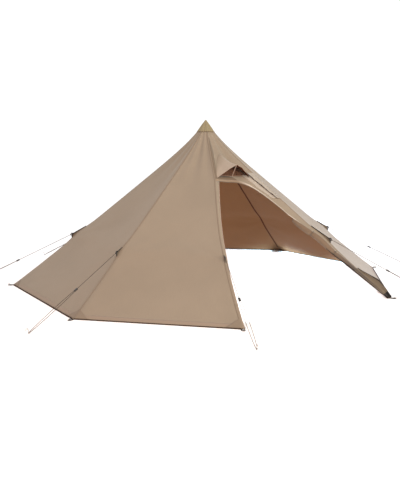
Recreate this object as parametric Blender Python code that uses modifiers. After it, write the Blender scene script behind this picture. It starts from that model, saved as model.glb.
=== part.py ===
# Octagonal tipi tent on one centre pole, with its front bay opened as a doorway.
# Metres, +Z up, origin on the ground under the pole, doorway towards -Y.

from math import atan2, cos, exp, hypot, pi, radians, sin

import bmesh
import bpy
from mathutils import Vector

# Driving dimensions
CORNER_RADIUS = 2.66        # pole to each pegged corner, as pitched evenly
APEX_HEIGHT = 2.20
# For each corner its direction in degrees, how far it is pegged out of the even radius,
# and the share of its ridge where the guy line pulls.
CORNER_PLACES = ((157.8, 0.0, 0.691), (202.1, 0.03, 0.715), (241.6, 0.0, 0.723),
                 (293.0, -0.04, 0.690), (337.3, 0.01, 0.697), (382.5, 0.0, 0.70),
                 (427.5, 0.0, 0.70), (472.5, 0.0, 0.70))
CLOTH = 0.004               # wall thickness of the solids
GAP = 0.0003                # between pieces that touch
SEWN_GAP = 3 * GAP          # between a curved bay and a piece sewn on it

# Shape of the stretched cloth
RIDGE_SAG = 0.13            # how far a ridge would drop below a straight line
SAG_STARTS = 0.07           # share of the ridge over which the sag sets in
SAG_FADES = 0.65
GUY_PULL = 0.025            # a guy line lifts the ridge by this much
PULL_ABOVE = 0.025          # the lift is centred this far above the fin's tip
PULL_SPREAD = 0.05
WALL_SAG = 0.028            # the middle of a bay sinks in by this much
DOOR_POST_BOW = 0.06        # the free edge of the doorway curves sideways

# Pieces, all as shares of a ridge or of a bay's width
CAP_ENDS = 0.045
RIDGE_ROWS = 20
FIN_ROWS = 1.15             # length of a guy fin along the ridge, in rows
DOOR_BAY = 2
DOOR_ROW = 6                # the doorway starts at this row of the left post
DOOR_TOP = CAP_ENDS + (1.0 - CAP_ENDS) * DOOR_ROW / RIDGE_ROWS
ARCH_FOOT = 0.53            # where the arch meets the strip beside the right ridge
STRIP_WIDTHS = (0.147, 0.012)   # metres, at the foot of the arch and on the ground
ROLL_STEPS = 28
TIE_STEPS = {"door_tie_upper": 4, "door_tie_middle": 11, "door_tie_lower": 18}
VENT = {"left": 0.06, "right": 0.82, "sill": 0.297, "attached": 0.185, "reach": 0.178,
        "hole_left": 0.14, "hole_right": 0.72, "hole_height": 0.062}
JACK = {"inner": 0.010, "wide": 0.118, "narrow": 0.064, "top": 0.285, "bottom": 0.43,
        "thick": 0.003, "cover_lift": 0.014, "covered_by": 0.014}

# Hardware
POLE_RADIUS = 0.016
SLEEVE_RADIUS = 0.019
SLEEVE_LENGTH = 0.075
CAP_HOLLOW_TOP = APEX_HEIGHT - 0.045
POLE_JOINT = 1.08
FOOT_RADIUS = 0.034
FOOT_HEIGHT = 0.022
LINE_RADIUS = 0.002
TIE_THICKNESS = 0.002
TIE_WIDTH = 0.012
GUY_PEG_DISTANCE = 1.23     # in corner radii
PEG_RADIUS = 0.004
SLIDER = (0.014, 0.008, 0.045)
SLIDER_PLACE = 0.47         # share of the guy line's length, from the fin
FIN_HEIGHT = 0.045
FIN_THICKNESS = 0.003

BAY_NAMES = ("side_left", "front_left", "door", "front_right",
             "side_right", "rear_right", "rear", "rear_left")

CORNERS = len(CORNER_PLACES)
BAY_SLOPE = atan2(APEX_HEIGHT, CORNER_RADIUS * cos(pi / CORNERS))


def clear_scene():
    for item in list(bpy.data.objects):
        bpy.data.objects.remove(item, do_unlink=True)


def collection(name):
    made = bpy.data.collections.new(name)
    bpy.context.scene.collection.children.link(made)
    return made


def material(name, color, roughness, metallic=0.0):
    made = bpy.data.materials.get(name)
    if made is None:
        made = bpy.data.materials.new(name)
        made.use_nodes = True
        shader = made.node_tree.nodes["Principled BSDF"]
        shader.inputs["Base Color"].default_value = (*color, 1.0)
        shader.inputs["Roughness"].default_value = roughness
        shader.inputs["Metallic"].default_value = metallic
    return made


def wall_cloth():
    return material("tan_canvas", (0.43, 0.32, 0.22), 0.85)


def cap_cloth():
    return material("olive_tan_canvas", (0.40, 0.31, 0.20), 0.85)


def black_webbing():
    return material("black_webbing", (0.02, 0.02, 0.02), 0.7)


def zip_tape():
    return material("brown_zip_tape", (0.16, 0.11, 0.08), 0.7)


def insect_mesh():
    return material("dark_mesh", (0.10, 0.08, 0.07), 0.9)


def jack_cloth():
    return material("heat_cloth", (0.47, 0.42, 0.36), 0.8)


def pole_metal():
    return material("grey_aluminium", (0.55, 0.55, 0.56), 0.35, 1.0)


def black_plastic():
    return material("black_plastic", (0.03, 0.03, 0.03), 0.5)


def peg_steel():
    return material("peg_steel", (0.50, 0.50, 0.52), 0.4, 1.0)


def line_cord():
    return material("grey_cord", (0.22, 0.20, 0.17), 0.8)


# The cloth surface

def corner_angle(k):
    return radians(CORNER_PLACES[k % CORNERS][0])


def corner_distance(k):
    return CORNER_RADIUS + CORNER_PLACES[k % CORNERS][1]


def radial(k):
    return Vector((cos(corner_angle(k)), sin(corner_angle(k)), 0.0))


def sideways(k):
    return Vector((-sin(corner_angle(k)), cos(corner_angle(k)), 0.0))


def guy_place(k):
    return CORNER_PLACES[k % CORNERS][2]


def ridge_drop(k, t):
    sag = RIDGE_SAG * (1.0 - exp(-t / SAG_STARTS)) * max(1.0 - t, 0.0) ** SAG_FADES
    return sag - GUY_PULL * exp(-((t - guy_place(k) + PULL_ABOVE) / PULL_SPREAD) ** 2)


def post_bow(k, t):
    if k % CORNERS != DOOR_BAY or t <= DOOR_TOP:
        return 0.0
    share = min((t - DOOR_TOP) / (1.0 - DOOR_TOP), 1.0)
    return -DOOR_POST_BOW * sin(pi * share)


def inward(k, t):
    # Direction and length, per metre of depth, that keep both bays at a ridge equally thick.
    ring = sin(BAY_SLOPE) * cos(pi / CORNERS)
    if t <= CAP_ENDS + 1e-6 or t >= 1.0 - 1e-6:
        return -radial(k) / ring
    rise = CORNER_RADIUS / APEX_HEIGHT
    along = 1.0 / (ring + rise * cos(BAY_SLOPE))
    return -radial(k) * along - Vector((0.0, 0.0, rise * along))


def ridge_point(k, t, depth=0.0):
    outward = radial(k) * corner_distance(k) * t
    height = Vector((0.0, 0.0, APEX_HEIGHT * (1.0 - t) - ridge_drop(k, t)))
    return outward + height + sideways(k) * post_bow(k, t) + inward(k, t) * depth


def row_share(row):
    return CAP_ENDS + (1.0 - CAP_ENDS) * row / RIDGE_ROWS


def ridge_chord(k, t, depth):
    # The ridge as the walls' rows draw it, straight from row to row.
    place = (t - CAP_ENDS) / (1.0 - CAP_ENDS) * RIDGE_ROWS
    row = min(max(int(place + 1e-6), 0), RIDGE_ROWS - 1)
    low = ridge_point(k, row_share(row), depth)
    high = ridge_point(k, row_share(row + 1), depth)
    return low.lerp(high, place - row)


def bay_normal(bay):
    across = radial(bay) + radial(bay + 1)
    across.normalize()
    return across * sin(BAY_SLOPE) + Vector((0.0, 0.0, cos(BAY_SLOPE)))


def bay_point(bay, s, t, depth=0.0):
    # No two bays meet: each stands back by half the gap from its ridges.
    if s <= 0.0:
        return ridge_chord(bay, t, depth) + sideways(bay) * GAP / 2
    if s >= 1.0:
        return ridge_chord(bay + 1, t, depth) - sideways(bay + 1) * GAP / 2
    point = ridge_chord(bay, t, depth).lerp(ridge_chord(bay + 1, t, depth), s)
    down = (t - CAP_ENDS) / (1.0 - CAP_ENDS)
    return point - bay_normal(bay) * WALL_SAG * sin(pi * s) * 4.0 * down * (1.0 - down)


def bay_width(bay, t):
    return (ridge_point(bay, t) - ridge_point(bay + 1, t)).length


# Makers of solids

def link(home, name, mesh, finish):
    item = bpy.data.objects.new(name, mesh)
    home.objects.link(item)
    mesh.materials.clear()
    mesh.materials.append(finish)
    return item


def mesh_from(bm, name):
    bmesh.ops.recalc_face_normals(bm, faces=bm.faces)
    if bm.calc_volume(signed=True) < 0.0:
        bmesh.ops.reverse_faces(bm, faces=bm.faces)
    mesh = bpy.data.meshes.new(name)
    bm.to_mesh(mesh)
    bm.free()
    return mesh


def slab(name, columns, rows, place):
    # A flat grid, thickened to a slab, whose points place(u, v, w) then moves:
    # u and v run over the cloth, and w is 0 on its outer face and 1 on its inner.
    bm = bmesh.new()
    bmesh.ops.create_grid(bm, x_segments=columns, y_segments=rows, size=0.5)
    thick = bmesh.ops.extrude_face_region(bm, geom=list(bm.faces), use_keep_orig=True)
    lifted = [part for part in thick["geom"] if isinstance(part, bmesh.types.BMVert)]
    bmesh.ops.translate(bm, verts=lifted, vec=(0.0, 0.0, 1.0))
    for vert in bm.verts:
        vert.co = place(vert.co.x + 0.5, vert.co.y + 0.5, vert.co.z)
    return mesh_from(bm, name)


def cloth_piece(home, name, columns, rows, place, finish):
    return link(home, name, slab(name, columns, rows, place), finish)


def turned(home, name, profile, finish, sides=24):
    # A profile in the XZ plane, turned about Z. One that ends where it starts is a ring.
    closed = profile[0] == profile[-1]
    points = profile[:-1] if closed else profile
    edges = [(i, (i + 1) % len(points)) for i in range(len(profile) - 1)]
    mesh = bpy.data.meshes.new(name)
    mesh.from_pydata([(r, 0.0, z) for r, z in points], edges, [])
    item = link(home, name, mesh, finish)
    screw = item.modifiers.new("turn", "SCREW")
    screw.steps = sides
    screw.render_steps = sides
    screw.use_merge_vertices = True
    screw.merge_threshold = 0.00005
    screw.use_smooth_shade = False
    return item


def tube(home, name, points, radius, finish, radii=None, sides=2):
    curve = bpy.data.curves.new(name, "CURVE")
    curve.dimensions = "3D"
    curve.bevel_depth = radius
    curve.bevel_resolution = sides
    curve.use_fill_caps = True
    spline = curve.splines.new("POLY")
    spline.points.add(len(points) - 1)
    for index, point in enumerate(points):
        spline.points[index].co = (*point, 1.0)
        spline.points[index].radius = radii[index] if radii else 1.0
    curve.materials.append(finish)
    item = bpy.data.objects.new(name, curve)
    home.objects.link(item)
    return item


def as_mesh(home, item):
    depsgraph = bpy.context.evaluated_depsgraph_get()
    mesh = bpy.data.meshes.new_from_object(item.evaluated_get(depsgraph))
    name = item.name
    placed = item.matrix_world.copy()
    bpy.data.objects.remove(item, do_unlink=True)
    bm = bmesh.new()
    bm.from_mesh(mesh)
    bmesh.ops.remove_doubles(bm, verts=bm.verts, dist=0.00002)
    bm.to_mesh(mesh)
    bm.free()
    made = bpy.data.objects.new(name, mesh)
    made.matrix_world = placed
    home.objects.link(made)
    return made


def guide(cutters, name, mesh):
    item = bpy.data.objects.new(name, mesh)
    cutters.objects.link(item)
    item.hide_render = True
    item.display_type = "WIRE"
    return item


def boolean(item, other, operation):
    step = item.modifiers.new(operation.lower(), "BOOLEAN")
    step.operation = operation
    step.solver = "EXACT"
    step.object = other


# Walls and cap

def wall(home, bay):
    def place(u, v, w):
        return bay_point(bay, u, row_share(v * RIDGE_ROWS), w * CLOTH)
    return cloth_piece(home, BAY_NAMES[bay] + "_wall", 8, RIDGE_ROWS, place, wall_cloth())


def strip_share(t):
    # Where the rim runs beside the right ridge: a strip of cloth that narrows to the foot.
    down = (t - ARCH_FOOT) / (1.0 - ARCH_FOOT)
    width = STRIP_WIDTHS[1] + (STRIP_WIDTHS[0] - STRIP_WIDTHS[1]) * max(1.0 - down, 0.0) ** 2.6
    return 1.0 - width / bay_width(DOOR_BAY, t)


def door_edge(u):
    # The rim of the doorway: across the top from the left post, over the arch, and down
    # beside the right ridge. Returns shares of the bay's width and of the ridge's length.
    if u <= 0.5:
        turn = pi / 2 * (u / 0.5) ** 1.6
        s = strip_share(ARCH_FOOT) * sin(turn) ** 0.5
        return s, DOOR_TOP + (ARCH_FOOT - DOOR_TOP) * (1.0 - cos(turn))
    t = ARCH_FOOT + (1.0 - ARCH_FOOT) * (u - 0.5) / 0.5
    return strip_share(t), t


def roof_edge(u):
    # The other rim of the door panel: under the cap, then down the right ridge.
    if u <= 0.5:
        return u / 0.5, CAP_ENDS
    down = (u - 0.5) / 0.5
    return 1.0, CAP_ENDS + (1.0 - CAP_ENDS) * down


def door_panel(home, cutters):
    def place(u, v, w):
        rim_s, rim_t = door_edge(u)
        roof_s, roof_t = roof_edge(u)
        s = rim_s + (roof_s - rim_s) * v
        t = rim_t + (roof_t - rim_t) * v
        return bay_point(DOOR_BAY, s, t, w * CLOTH)
    panel = cloth_piece(home, "door_wall", 2 * RIDGE_ROWS, 2 * DOOR_ROW, place, wall_cloth())
    boolean(panel, vent_cutter(cutters), "DIFFERENCE")
    return panel


def vent_hole(u):
    # The hole's share of the bay's width, and its upper edge as a share of the ridge.
    s = VENT["hole_left"] + (VENT["hole_right"] - VENT["hole_left"]) * u
    return s, VENT["sill"] - 0.014 - VENT["hole_height"] * sin(pi * min(max(u, 0.0), 1.0)) ** 0.8


def vent_cutter(cutters):
    def place(u, v, w):
        s, top = vent_hole(0.02 + 0.96 * u)
        sill = VENT["sill"] - 0.012
        return bay_point(DOOR_BAY, s, top + (sill - top) * v, -0.02 + 0.04 * w)
    return guide(cutters, "vent_cutter", slab("vent_cutter", 10, 1, place))


def apex_cap(home, cutters):
    # An eight-sided cone down to the walls' upper edge, hollow for the pole's tip.
    def cone(radius_shift, top_radius, top_height, lower_by):
        bm = bmesh.new()
        made = bmesh.ops.create_cone(bm, cap_ends=True, segments=CORNERS,
                                     radius1=1.0, radius2=0.5, depth=1.0)
        ring = sorted((vert for vert in made["verts"] if vert.co.z < 0.0),
                      key=lambda vert: atan2(vert.co.y, vert.co.x))
        peak = sorted((vert for vert in made["verts"] if vert.co.z > 0.0),
                      key=lambda vert: atan2(vert.co.y, vert.co.x))
        order = sorted(range(CORNERS), key=lambda k: atan2(radial(k).y, radial(k).x))
        for low, high, k in zip(ring, peak, order):
            low.co = ridge_point(k, CAP_ENDS) + radial(k) * radius_shift
            low.co.z += GAP - lower_by
            high.co = radial(k) * top_radius + Vector((0.0, 0.0, top_height))
        return bm
    ring_wall = CLOTH / (sin(BAY_SLOPE) * cos(pi / CORNERS))
    outside = mesh_from(cone(0.0, 0.006, APEX_HEIGHT, 0.0), "apex_cap")
    cap = link(home, "apex_cap", outside, cap_cloth())
    hollow = cone(-ring_wall, POLE_RADIUS + 0.004, CAP_HOLLOW_TOP, 0.02)
    boolean(cap, guide(cutters, "cap_hollow", mesh_from(hollow, "cap_hollow")), "DIFFERENCE")
    return cap


# Vent and stove jack

def vent_lip(u):
    lift = 1.0 - abs(2.0 * u - 1.0) ** 1.35
    s = VENT["left"] + (VENT["right"] - VENT["left"]) * u
    return s, VENT["sill"] + 0.008 - 0.020 * lift, VENT["reach"] * lift


def vent_hood(home):
    def place(u, v, w):
        s, lip_t, reach = vent_lip(u)
        root_t = VENT["sill"] - 0.012 - (VENT["sill"] - 0.012 - VENT["attached"]) * sin(pi * u) ** 0.7
        t = root_t + (lip_t - root_t) * v
        surface = bay_point(DOOR_BAY, s, t, -SEWN_GAP - CLOTH * 0.6 * (1.0 - w))
        return surface + bay_normal(DOOR_BAY) * reach * v ** 1.25
    return cloth_piece(home, "vent_hood", 16, 6, place, wall_cloth())


def vent_mesh(home):
    # Netting on the inner face, a seam's width larger than the hole all round.
    def place(u, v, w):
        s, top = vent_hole(-0.03 + 1.06 * u)
        top -= 0.006
        sill = VENT["sill"] - 0.004
        return bay_point(DOOR_BAY, s, top + (sill - top) * v, CLOTH + SEWN_GAP + 0.0015 * w)
    return cloth_piece(home, "vent_mesh", 12, 3, place, insect_mesh())


def vent_stay(home):
    s, lip_t, reach = vent_lip(0.5)
    base = bay_point(DOOR_BAY, s, lip_t + 0.003, -SEWN_GAP)
    under_lip = reach - 0.004
    tip = bay_point(DOOR_BAY, s, lip_t - 0.001, 0.0) + bay_normal(DOOR_BAY) * under_lip
    return tube(home, "vent_stay", [base, tip], 0.003, black_plastic(), sides=2)


def jack_place(distance, v, spare=0.0):
    # v runs down the jack, whose free side comes closer to the ridge on the way.
    t = JACK["top"] - spare + (JACK["bottom"] - JACK["top"] + 2.0 * spare) * v
    return 1.0 - distance / bay_width(DOOR_BAY, t), t


def jack_width(v):
    return JACK["wide"] + (JACK["narrow"] - JACK["wide"]) * v


def stove_jack(home):
    def place(u, v, w):
        outer = jack_width(v) - JACK["covered_by"]
        s, t = jack_place(outer + (JACK["inner"] - outer) * u, v)
        return bay_point(DOOR_BAY, s, t, -SEWN_GAP - JACK["thick"] * (1.0 - w))
    return cloth_piece(home, "stove_jack", 3, 8, place, jack_cloth())


def stove_jack_cover(home):
    # A rain flap sewn beside the ridge, its free edge standing a little off the jack.
    def place(u, v, w):
        s, t = jack_place(JACK["inner"] + (jack_width(v) - JACK["inner"]) * u, v, 0.004)
        lift = SEWN_GAP + GAP + JACK["thick"] + JACK["cover_lift"] * u ** 2
        return bay_point(DOOR_BAY, s, t, -lift - CLOTH * 0.5 * (1.0 - w))
    return cloth_piece(home, "stove_jack_cover", 4, 8, place, wall_cloth())


# Doorway

def post_width(t):
    down = (t - DOOR_TOP) / (1.0 - DOOR_TOP)
    return (0.03 + 0.035 * (1.0 - down) ** 2) / bay_width(DOOR_BAY, t)


def door_post_flap(home):
    # A narrow storm flap beside the left post, from the arch to the ground.
    rows = RIDGE_ROWS - DOOR_ROW
    def place(u, v, w):
        t = max(row_share(DOOR_ROW + rows * v), DOOR_TOP + GAP / APEX_HEIGHT)
        return bay_point(DOOR_BAY, post_width(t) * u, t, w * CLOTH)
    return cloth_piece(home, "door_post_flap", 1, rows, place, wall_cloth())


def rim_frame(u):
    s, t = door_edge(u)
    point = bay_point(DOOR_BAY, s, t, 0.0)
    before = bay_point(DOOR_BAY, *door_edge(max(u - 0.01, 0.0)), 0.0)
    after = bay_point(DOOR_BAY, *door_edge(min(u + 0.01, 1.0)), 0.0)
    along = (after - before).normalized()
    into = along.cross(bay_normal(DOOR_BAY)).normalized()
    return point, into


def door_zip(home, name, first, last, pieces):
    # Zip tape on the inner face of the rim, standing a little into the opening.
    def place(u, v, w):
        point, into = rim_frame(first + (last - first) * u)
        deep = CLOTH + SEWN_GAP + 0.0025 * w
        return point + into * (-0.012 + 0.024 * v) - bay_normal(DOOR_BAY) * deep * 1.02
    return cloth_piece(home, name, pieces, 1, place, zip_tape())


def post_zip(home):
    rows = RIDGE_ROWS - DOOR_ROW - 1
    def place(u, v, w):
        t = row_share(DOOR_ROW + 1 + rows * u)
        s = (0.016 + 0.022 * v) / bay_width(DOOR_BAY, t)
        return bay_point(DOOR_BAY, s, t, CLOTH + SEWN_GAP + 0.0025 * w)
    return cloth_piece(home, "door_zip_post", rows, 1, place, zip_tape())


def roll_radius(share):
    # Fattest in the upper third, and thin where the door is drawn in at the foot.
    return 0.009 + 0.026 * sin(pi * share ** 0.42)


def roll_line(share):
    # Centre of the rolled door, hung along the rim beside the right ridge.
    point, into = rim_frame(0.5 + 0.5 * (0.10 + 0.89 * share))
    radius = roll_radius(share)
    away = radius * 1.01 + TIE_THICKNESS + 6 * GAP
    centre = point + into * away - bay_normal(DOOR_BAY) * CLOTH / 2
    centre.z = max(centre.z, radius + GAP)
    return centre


def door_roll(home):
    shares = [i / ROLL_STEPS for i in range(ROLL_STEPS + 1)]
    return tube(home, "door_roll", [roll_line(x) for x in shares], 1.0, wall_cloth(),
                radii=[roll_radius(x) for x in shares], sides=4)


def door_tie(home, name, share):
    # A webbing loop around the roll, sewn to the rim of the doorway.
    centre = roll_line(share)
    step = 0.5 / ROLL_STEPS
    along = (roll_line(share + step) - roll_line(share - step)).normalized()
    inner = roll_radius(share) * 1.01 + GAP
    outer = inner + TIE_THICKNESS
    half = TIE_WIDTH / 2
    ring = [(outer, half), (outer, -half), (inner, -half), (inner, half), (outer, half)]
    item = turned(home, name, ring, black_webbing())
    item.location = centre
    item.rotation_mode = "QUATERNION"
    item.rotation_quaternion = along.to_track_quat("Z", "Y")
    return item


# Pole

def centre_pole(home):
    foot_top = FOOT_HEIGHT
    seat = 0.008
    foot = [(0.0, foot_top), (POLE_RADIUS + 0.006, foot_top), (FOOT_RADIUS, seat),
            (FOOT_RADIUS, 0.0), (0.0, 0.0)]
    turned(home, "pole_foot", foot, black_plastic())
    low = foot_top + GAP
    lower = [(0.0, POLE_JOINT), (POLE_RADIUS, POLE_JOINT), (POLE_RADIUS, low), (0.0, low)]
    turned(home, "pole_lower", lower, pole_metal())
    high = CAP_HOLLOW_TOP - GAP
    tip_low = high - 0.02
    joint = POLE_JOINT + GAP
    sleeve_top = joint + SLEEVE_LENGTH
    upper = [(0.0, tip_low - GAP), (POLE_RADIUS, tip_low - GAP), (POLE_RADIUS, sleeve_top),
             (SLEEVE_RADIUS, sleeve_top), (SLEEVE_RADIUS, joint), (0.0, joint)]
    turned(home, "pole_upper", upper, pole_metal())
    tip = [(0.0, high), (POLE_RADIUS - 0.002, high), (POLE_RADIUS + 0.001, high - 0.005),
           (POLE_RADIUS + 0.001, tip_low), (0.0, tip_low)]
    turned(home, "pole_tip", tip, black_plastic())


# Guy lines, fins and pegs

def fin_tip(k):
    slope = hypot(APEX_HEIGHT, CORNER_RADIUS)
    up = (radial(k) * APEX_HEIGHT + Vector((0.0, 0.0, CORNER_RADIUS))) / slope
    return ridge_point(k, guy_place(k)) + up * FIN_HEIGHT


def fin_rows(k):
    # Places along the ridge, in rows, so that the fin bends where the ridge does.
    last = (guy_place(k) - CAP_ENDS) / (1.0 - CAP_ENDS) * RIDGE_ROWS
    bend = int(last)
    first = max(last - FIN_ROWS, bend - 1)
    return (first, (first + bend) / 2, bend, (bend + last) / 2, last)


def guy_fin(home, k):
    # A sewn fin that stands on the ridge, with its outer corner where the line pulls.
    rows = fin_rows(k)
    start = ridge_chord(k, row_share(rows[0]), -GAP * 2)
    blunt = Vector((0.0, 0.0, 0.006))

    def place(u, v, w):
        root = ridge_chord(k, row_share(rows[round(4 * u)]), -GAP * 2)
        edge = (start + blunt).lerp(fin_tip(k), u)
        return root.lerp(edge, v) + sideways(k) * FIN_THICKNESS * (w - 0.5)
    return cloth_piece(home, "guy_fin_%d" % (k + 1), 4, 1, place, black_webbing())


def peg_foot(k):
    return radial(k) * CORNER_RADIUS * GUY_PEG_DISTANCE


def guy_peg(home, k):
    # A rod whose hook points away from the tent.
    foot = peg_foot(k)
    hook = ((0.0, 0.0), (0.0, 0.012), (0.004, 0.030), (0.010, 0.048), (0.020, 0.056),
            (0.032, 0.052), (0.038, 0.040))
    steps = [foot + radial(k) * out + Vector((0.0, 0.0, height)) for out, height in hook]
    return tube(home, "guy_peg_%d" % (k + 1), steps, PEG_RADIUS, peg_steel(), sides=2)


def guy_line(home, cutters, k):
    # A taut line from the fin to the peg, with its slider fused on.
    start = fin_tip(k)
    end = peg_foot(k) + Vector((0.0, 0.0, 0.011)) - radial(k) * (PEG_RADIUS + LINE_RADIUS / 2 + GAP)
    along = (end - start).normalized()
    start = start + along * 2 * GAP
    line = tube(home, "guy_line_%d" % (k + 1), [start.lerp(end, i / 6) for i in range(7)],
                LINE_RADIUS, line_cord(), sides=2)
    line = as_mesh(home, line)
    bm = bmesh.new()
    bmesh.ops.create_cube(bm, size=1.0)
    bmesh.ops.scale(bm, vec=SLIDER, verts=bm.verts)
    slider = guide(cutters, "slider_%d" % (k + 1), mesh_from(bm, "slider_%d" % (k + 1)))
    slider.location = start.lerp(end, SLIDER_PLACE)
    slider.rotation_mode = "QUATERNION"
    slider.rotation_quaternion = along.to_track_quat("Z", "Y")
    boolean(line, slider, "UNION")
    return line


def corner_loop(home, k):
    # The webbing loop at a pegged corner, lying on the ground.
    width = 0.022
    reach = 0.052
    curve = bpy.data.curves.new("corner_loop_%d" % (k + 1), "CURVE")
    curve.dimensions = "2D"
    curve.fill_mode = "BOTH"
    curve.extrude = 0.002
    for scale in (1.0, 0.55):
        spline = curve.splines.new("POLY")
        outline = []
        for i in range(9):
            turn = -pi / 2 + pi * i / 8
            outline.append((reach - width + width * scale * cos(turn), width * scale * sin(turn)))
        inner = 0.0 if scale == 1.0 else 0.014
        outline += [(inner, width * scale), (inner, -width * scale)]
        spline.points.add(len(outline) - 1)
        for index, (x, y) in enumerate(outline):
            spline.points[index].co = (x, y, 0.0, 1.0)
        spline.use_cyclic_u = True
    curve.materials.append(black_webbing())
    item = bpy.data.objects.new("corner_loop_%d" % (k + 1), curve)
    home.objects.link(item)
    item.location = radial(k) * (corner_distance(k) + GAP * 3) + Vector((0.0, 0.0, 0.002))
    item.rotation_euler = (0.0, 0.0, corner_angle(k))
    return item


def build():
    clear_scene()
    home = collection("tipi_tent")
    cutters = collection("tipi_tent_cutters")
    for bay in range(CORNERS):
        if bay != DOOR_BAY:
            wall(home, bay)
    door_panel(home, cutters)
    apex_cap(home, cutters)
    vent_hood(home)
    vent_mesh(home)
    vent_stay(home)
    stove_jack(home)
    stove_jack_cover(home)
    door_post_flap(home)
    door_zip(home, "door_zip_arch", 0.06, 0.5, 24)
    post_zip(home)
    door_roll(home)
    for name, step in TIE_STEPS.items():
        door_tie(home, name, step / ROLL_STEPS)
    centre_pole(home)
    for k in range(CORNERS):
        guy_fin(home, k)
        guy_line(home, cutters, k)
        guy_peg(home, k)
        corner_loop(home, k)
    cutters.hide_render = True


build()
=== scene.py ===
from math import acos, atan2, cos, exp, hypot, pi, radians, sin

import bpy
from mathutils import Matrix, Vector, noise


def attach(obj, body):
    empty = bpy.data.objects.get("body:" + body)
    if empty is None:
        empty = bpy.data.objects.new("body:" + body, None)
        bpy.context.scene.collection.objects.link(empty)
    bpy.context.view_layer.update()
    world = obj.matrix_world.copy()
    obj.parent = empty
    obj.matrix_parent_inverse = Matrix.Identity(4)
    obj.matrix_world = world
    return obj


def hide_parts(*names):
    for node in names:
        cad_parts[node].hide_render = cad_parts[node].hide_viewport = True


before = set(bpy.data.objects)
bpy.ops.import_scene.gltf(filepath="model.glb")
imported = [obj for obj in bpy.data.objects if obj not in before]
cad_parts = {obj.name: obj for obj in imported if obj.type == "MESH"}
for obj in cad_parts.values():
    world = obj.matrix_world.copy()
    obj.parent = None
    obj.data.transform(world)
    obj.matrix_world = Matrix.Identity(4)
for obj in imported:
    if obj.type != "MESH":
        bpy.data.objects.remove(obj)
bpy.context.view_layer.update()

# Tipi tent: eight bays of canvas on one pole, front bay open, door rolled to the right.
# Metres, the pole's foot at the origin, doorway towards -Y. Ridges and bays are numbered from
# the left side round past the doorway. A share t runs down a ridge from 0 at the tip to 1 at the
# pegged corner, and s across a bay from 0 at its left ridge, seen from outside, to 1 at its right.

# the pitch, as the frame has it
tent = {
    "cornerRadius": 2.66,
    "apexHeight": 2.20,
    # direction in degrees, metres out of the even radius, share of the ridge where the line pulls
    "corners": ((157.8, 0.0, 0.691), (202.1, 0.03, 0.715), (241.6, 0.0, 0.723), (293.0, -0.04, 0.690),
                (337.3, 0.01, 0.697), (382.5, 0.0, 0.70), (427.5, 0.0, 0.70), (472.5, 0.0, 0.70)),
    "capEnds": 0.045,        # share of the ridge under the cap
    "doorBay": 2,
    "doorStarts": 0.29,      # share of the roof, cap to hem, above the doorway
    "ridgeSag": 0.13, "sagStarts": 0.07, "sagFades": 0.65,
    "guyPull": 0.025, "pullAbove": 0.025, "pullSpread": 0.05,
    "baySag": 0.028, "postBow": 0.06,
    "ridgeBlend": 0.012,     # metres in which a bay's lean turns into its ridge's
    "clothThick": 0.0014,
}
bayCount = len(tent["corners"])
doorBay = tent["doorBay"]
capEnds = tent["capEnds"]
clothThick = tent["clothThick"]
baySlope = atan2(tent["apexHeight"], tent["cornerRadius"] * cos(pi / bayCount))
ridgeLength = hypot(tent["apexHeight"], tent["cornerRadius"])
up = Vector((0, 0, 1))


def roofShare(v):
    # from the cap (0) to the hem (1)
    return capEnds + (1 - capEnds) * v


doorTop = roofShare(tent["doorStarts"])


def cornerAngle(k):
    return radians(tent["corners"][k % bayCount][0])


def cornerOut(k):
    return Vector((cos(cornerAngle(k)), sin(cornerAngle(k)), 0))


def cornerSide(k):
    return Vector((-sin(cornerAngle(k)), cos(cornerAngle(k)), 0))


def cornerBase(k):
    return cornerOut(k) * (tent["cornerRadius"] + tent["corners"][k % bayCount][1])


def guyPlace(k):
    return tent["corners"][k % bayCount][2]


def ridgeDrop(k, t):
    sag = tent["ridgeSag"] * (1 - exp(-t / tent["sagStarts"])) * max(1 - t, 0) ** tent["sagFades"]
    lift = (t - guyPlace(k) + tent["pullAbove"]) / tent["pullSpread"]
    return sag - tent["guyPull"] * exp(-lift ** 2)


def ridgePoint(k, t):
    point = cornerBase(k) * t
    point.z = tent["apexHeight"] * (1 - t) - ridgeDrop(k, t)
    if k % bayCount == doorBay and t > doorTop:
        point -= cornerSide(k) * tent["postBow"] * sin(pi * min((t - doorTop) / (1 - doorTop), 1))
    return point


def bayAway(bay):
    return (cornerOut(bay) + cornerOut(bay + 1)).normalized()


def bayNormal(bay):
    return bayAway(bay) * sin(baySlope) + up * cos(baySlope)


def ridgeNormal(k):
    return (bayNormal(k - 1) + bayNormal(k)).normalized()


def bayWidth(bay, t):
    return (ridgePoint(bay, t) - ridgePoint(bay + 1, t)).length


doorOut = bayNormal(doorBay)


# folds and pulls in the cloth: depths and reaches in metres
folds = {
    "fan": {"deep": 0.0075, "middle": 0.17, "spread": 0.13, "count": 2.4, "shift": 0.17, "turn": 1.3},
    "guy": {"deep": 0.0065, "reach": 0.34, "count": 9, "turn": 0.7},
    "corner": {"deep": 0.006, "reach": 0.42, "count": 10, "turn": 1.1},
    "wave": {"deep": 0.011, "across": 2.1, "down": 2.4, "apart": 7.3, "grows": 3},
    "raysStart": 0.05, "raysTwist": 3,
    "ridgeFade": 5.5, "hemFade": 0.04,
}


def rays(dx, dy, crease, k):
    # creases that run out from one pulled point
    far = hypot(dx, dy)
    if far > 4 * crease["reach"]:
        return 0
    start = 1 - exp(-(far / folds["raysStart"]) ** 2)
    turn = crease["count"] * atan2(dy, dx) + crease["turn"] * k + folds["raysTwist"] * far
    return crease["deep"] * start * exp(-far / crease["reach"]) * cos(turn)


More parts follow.
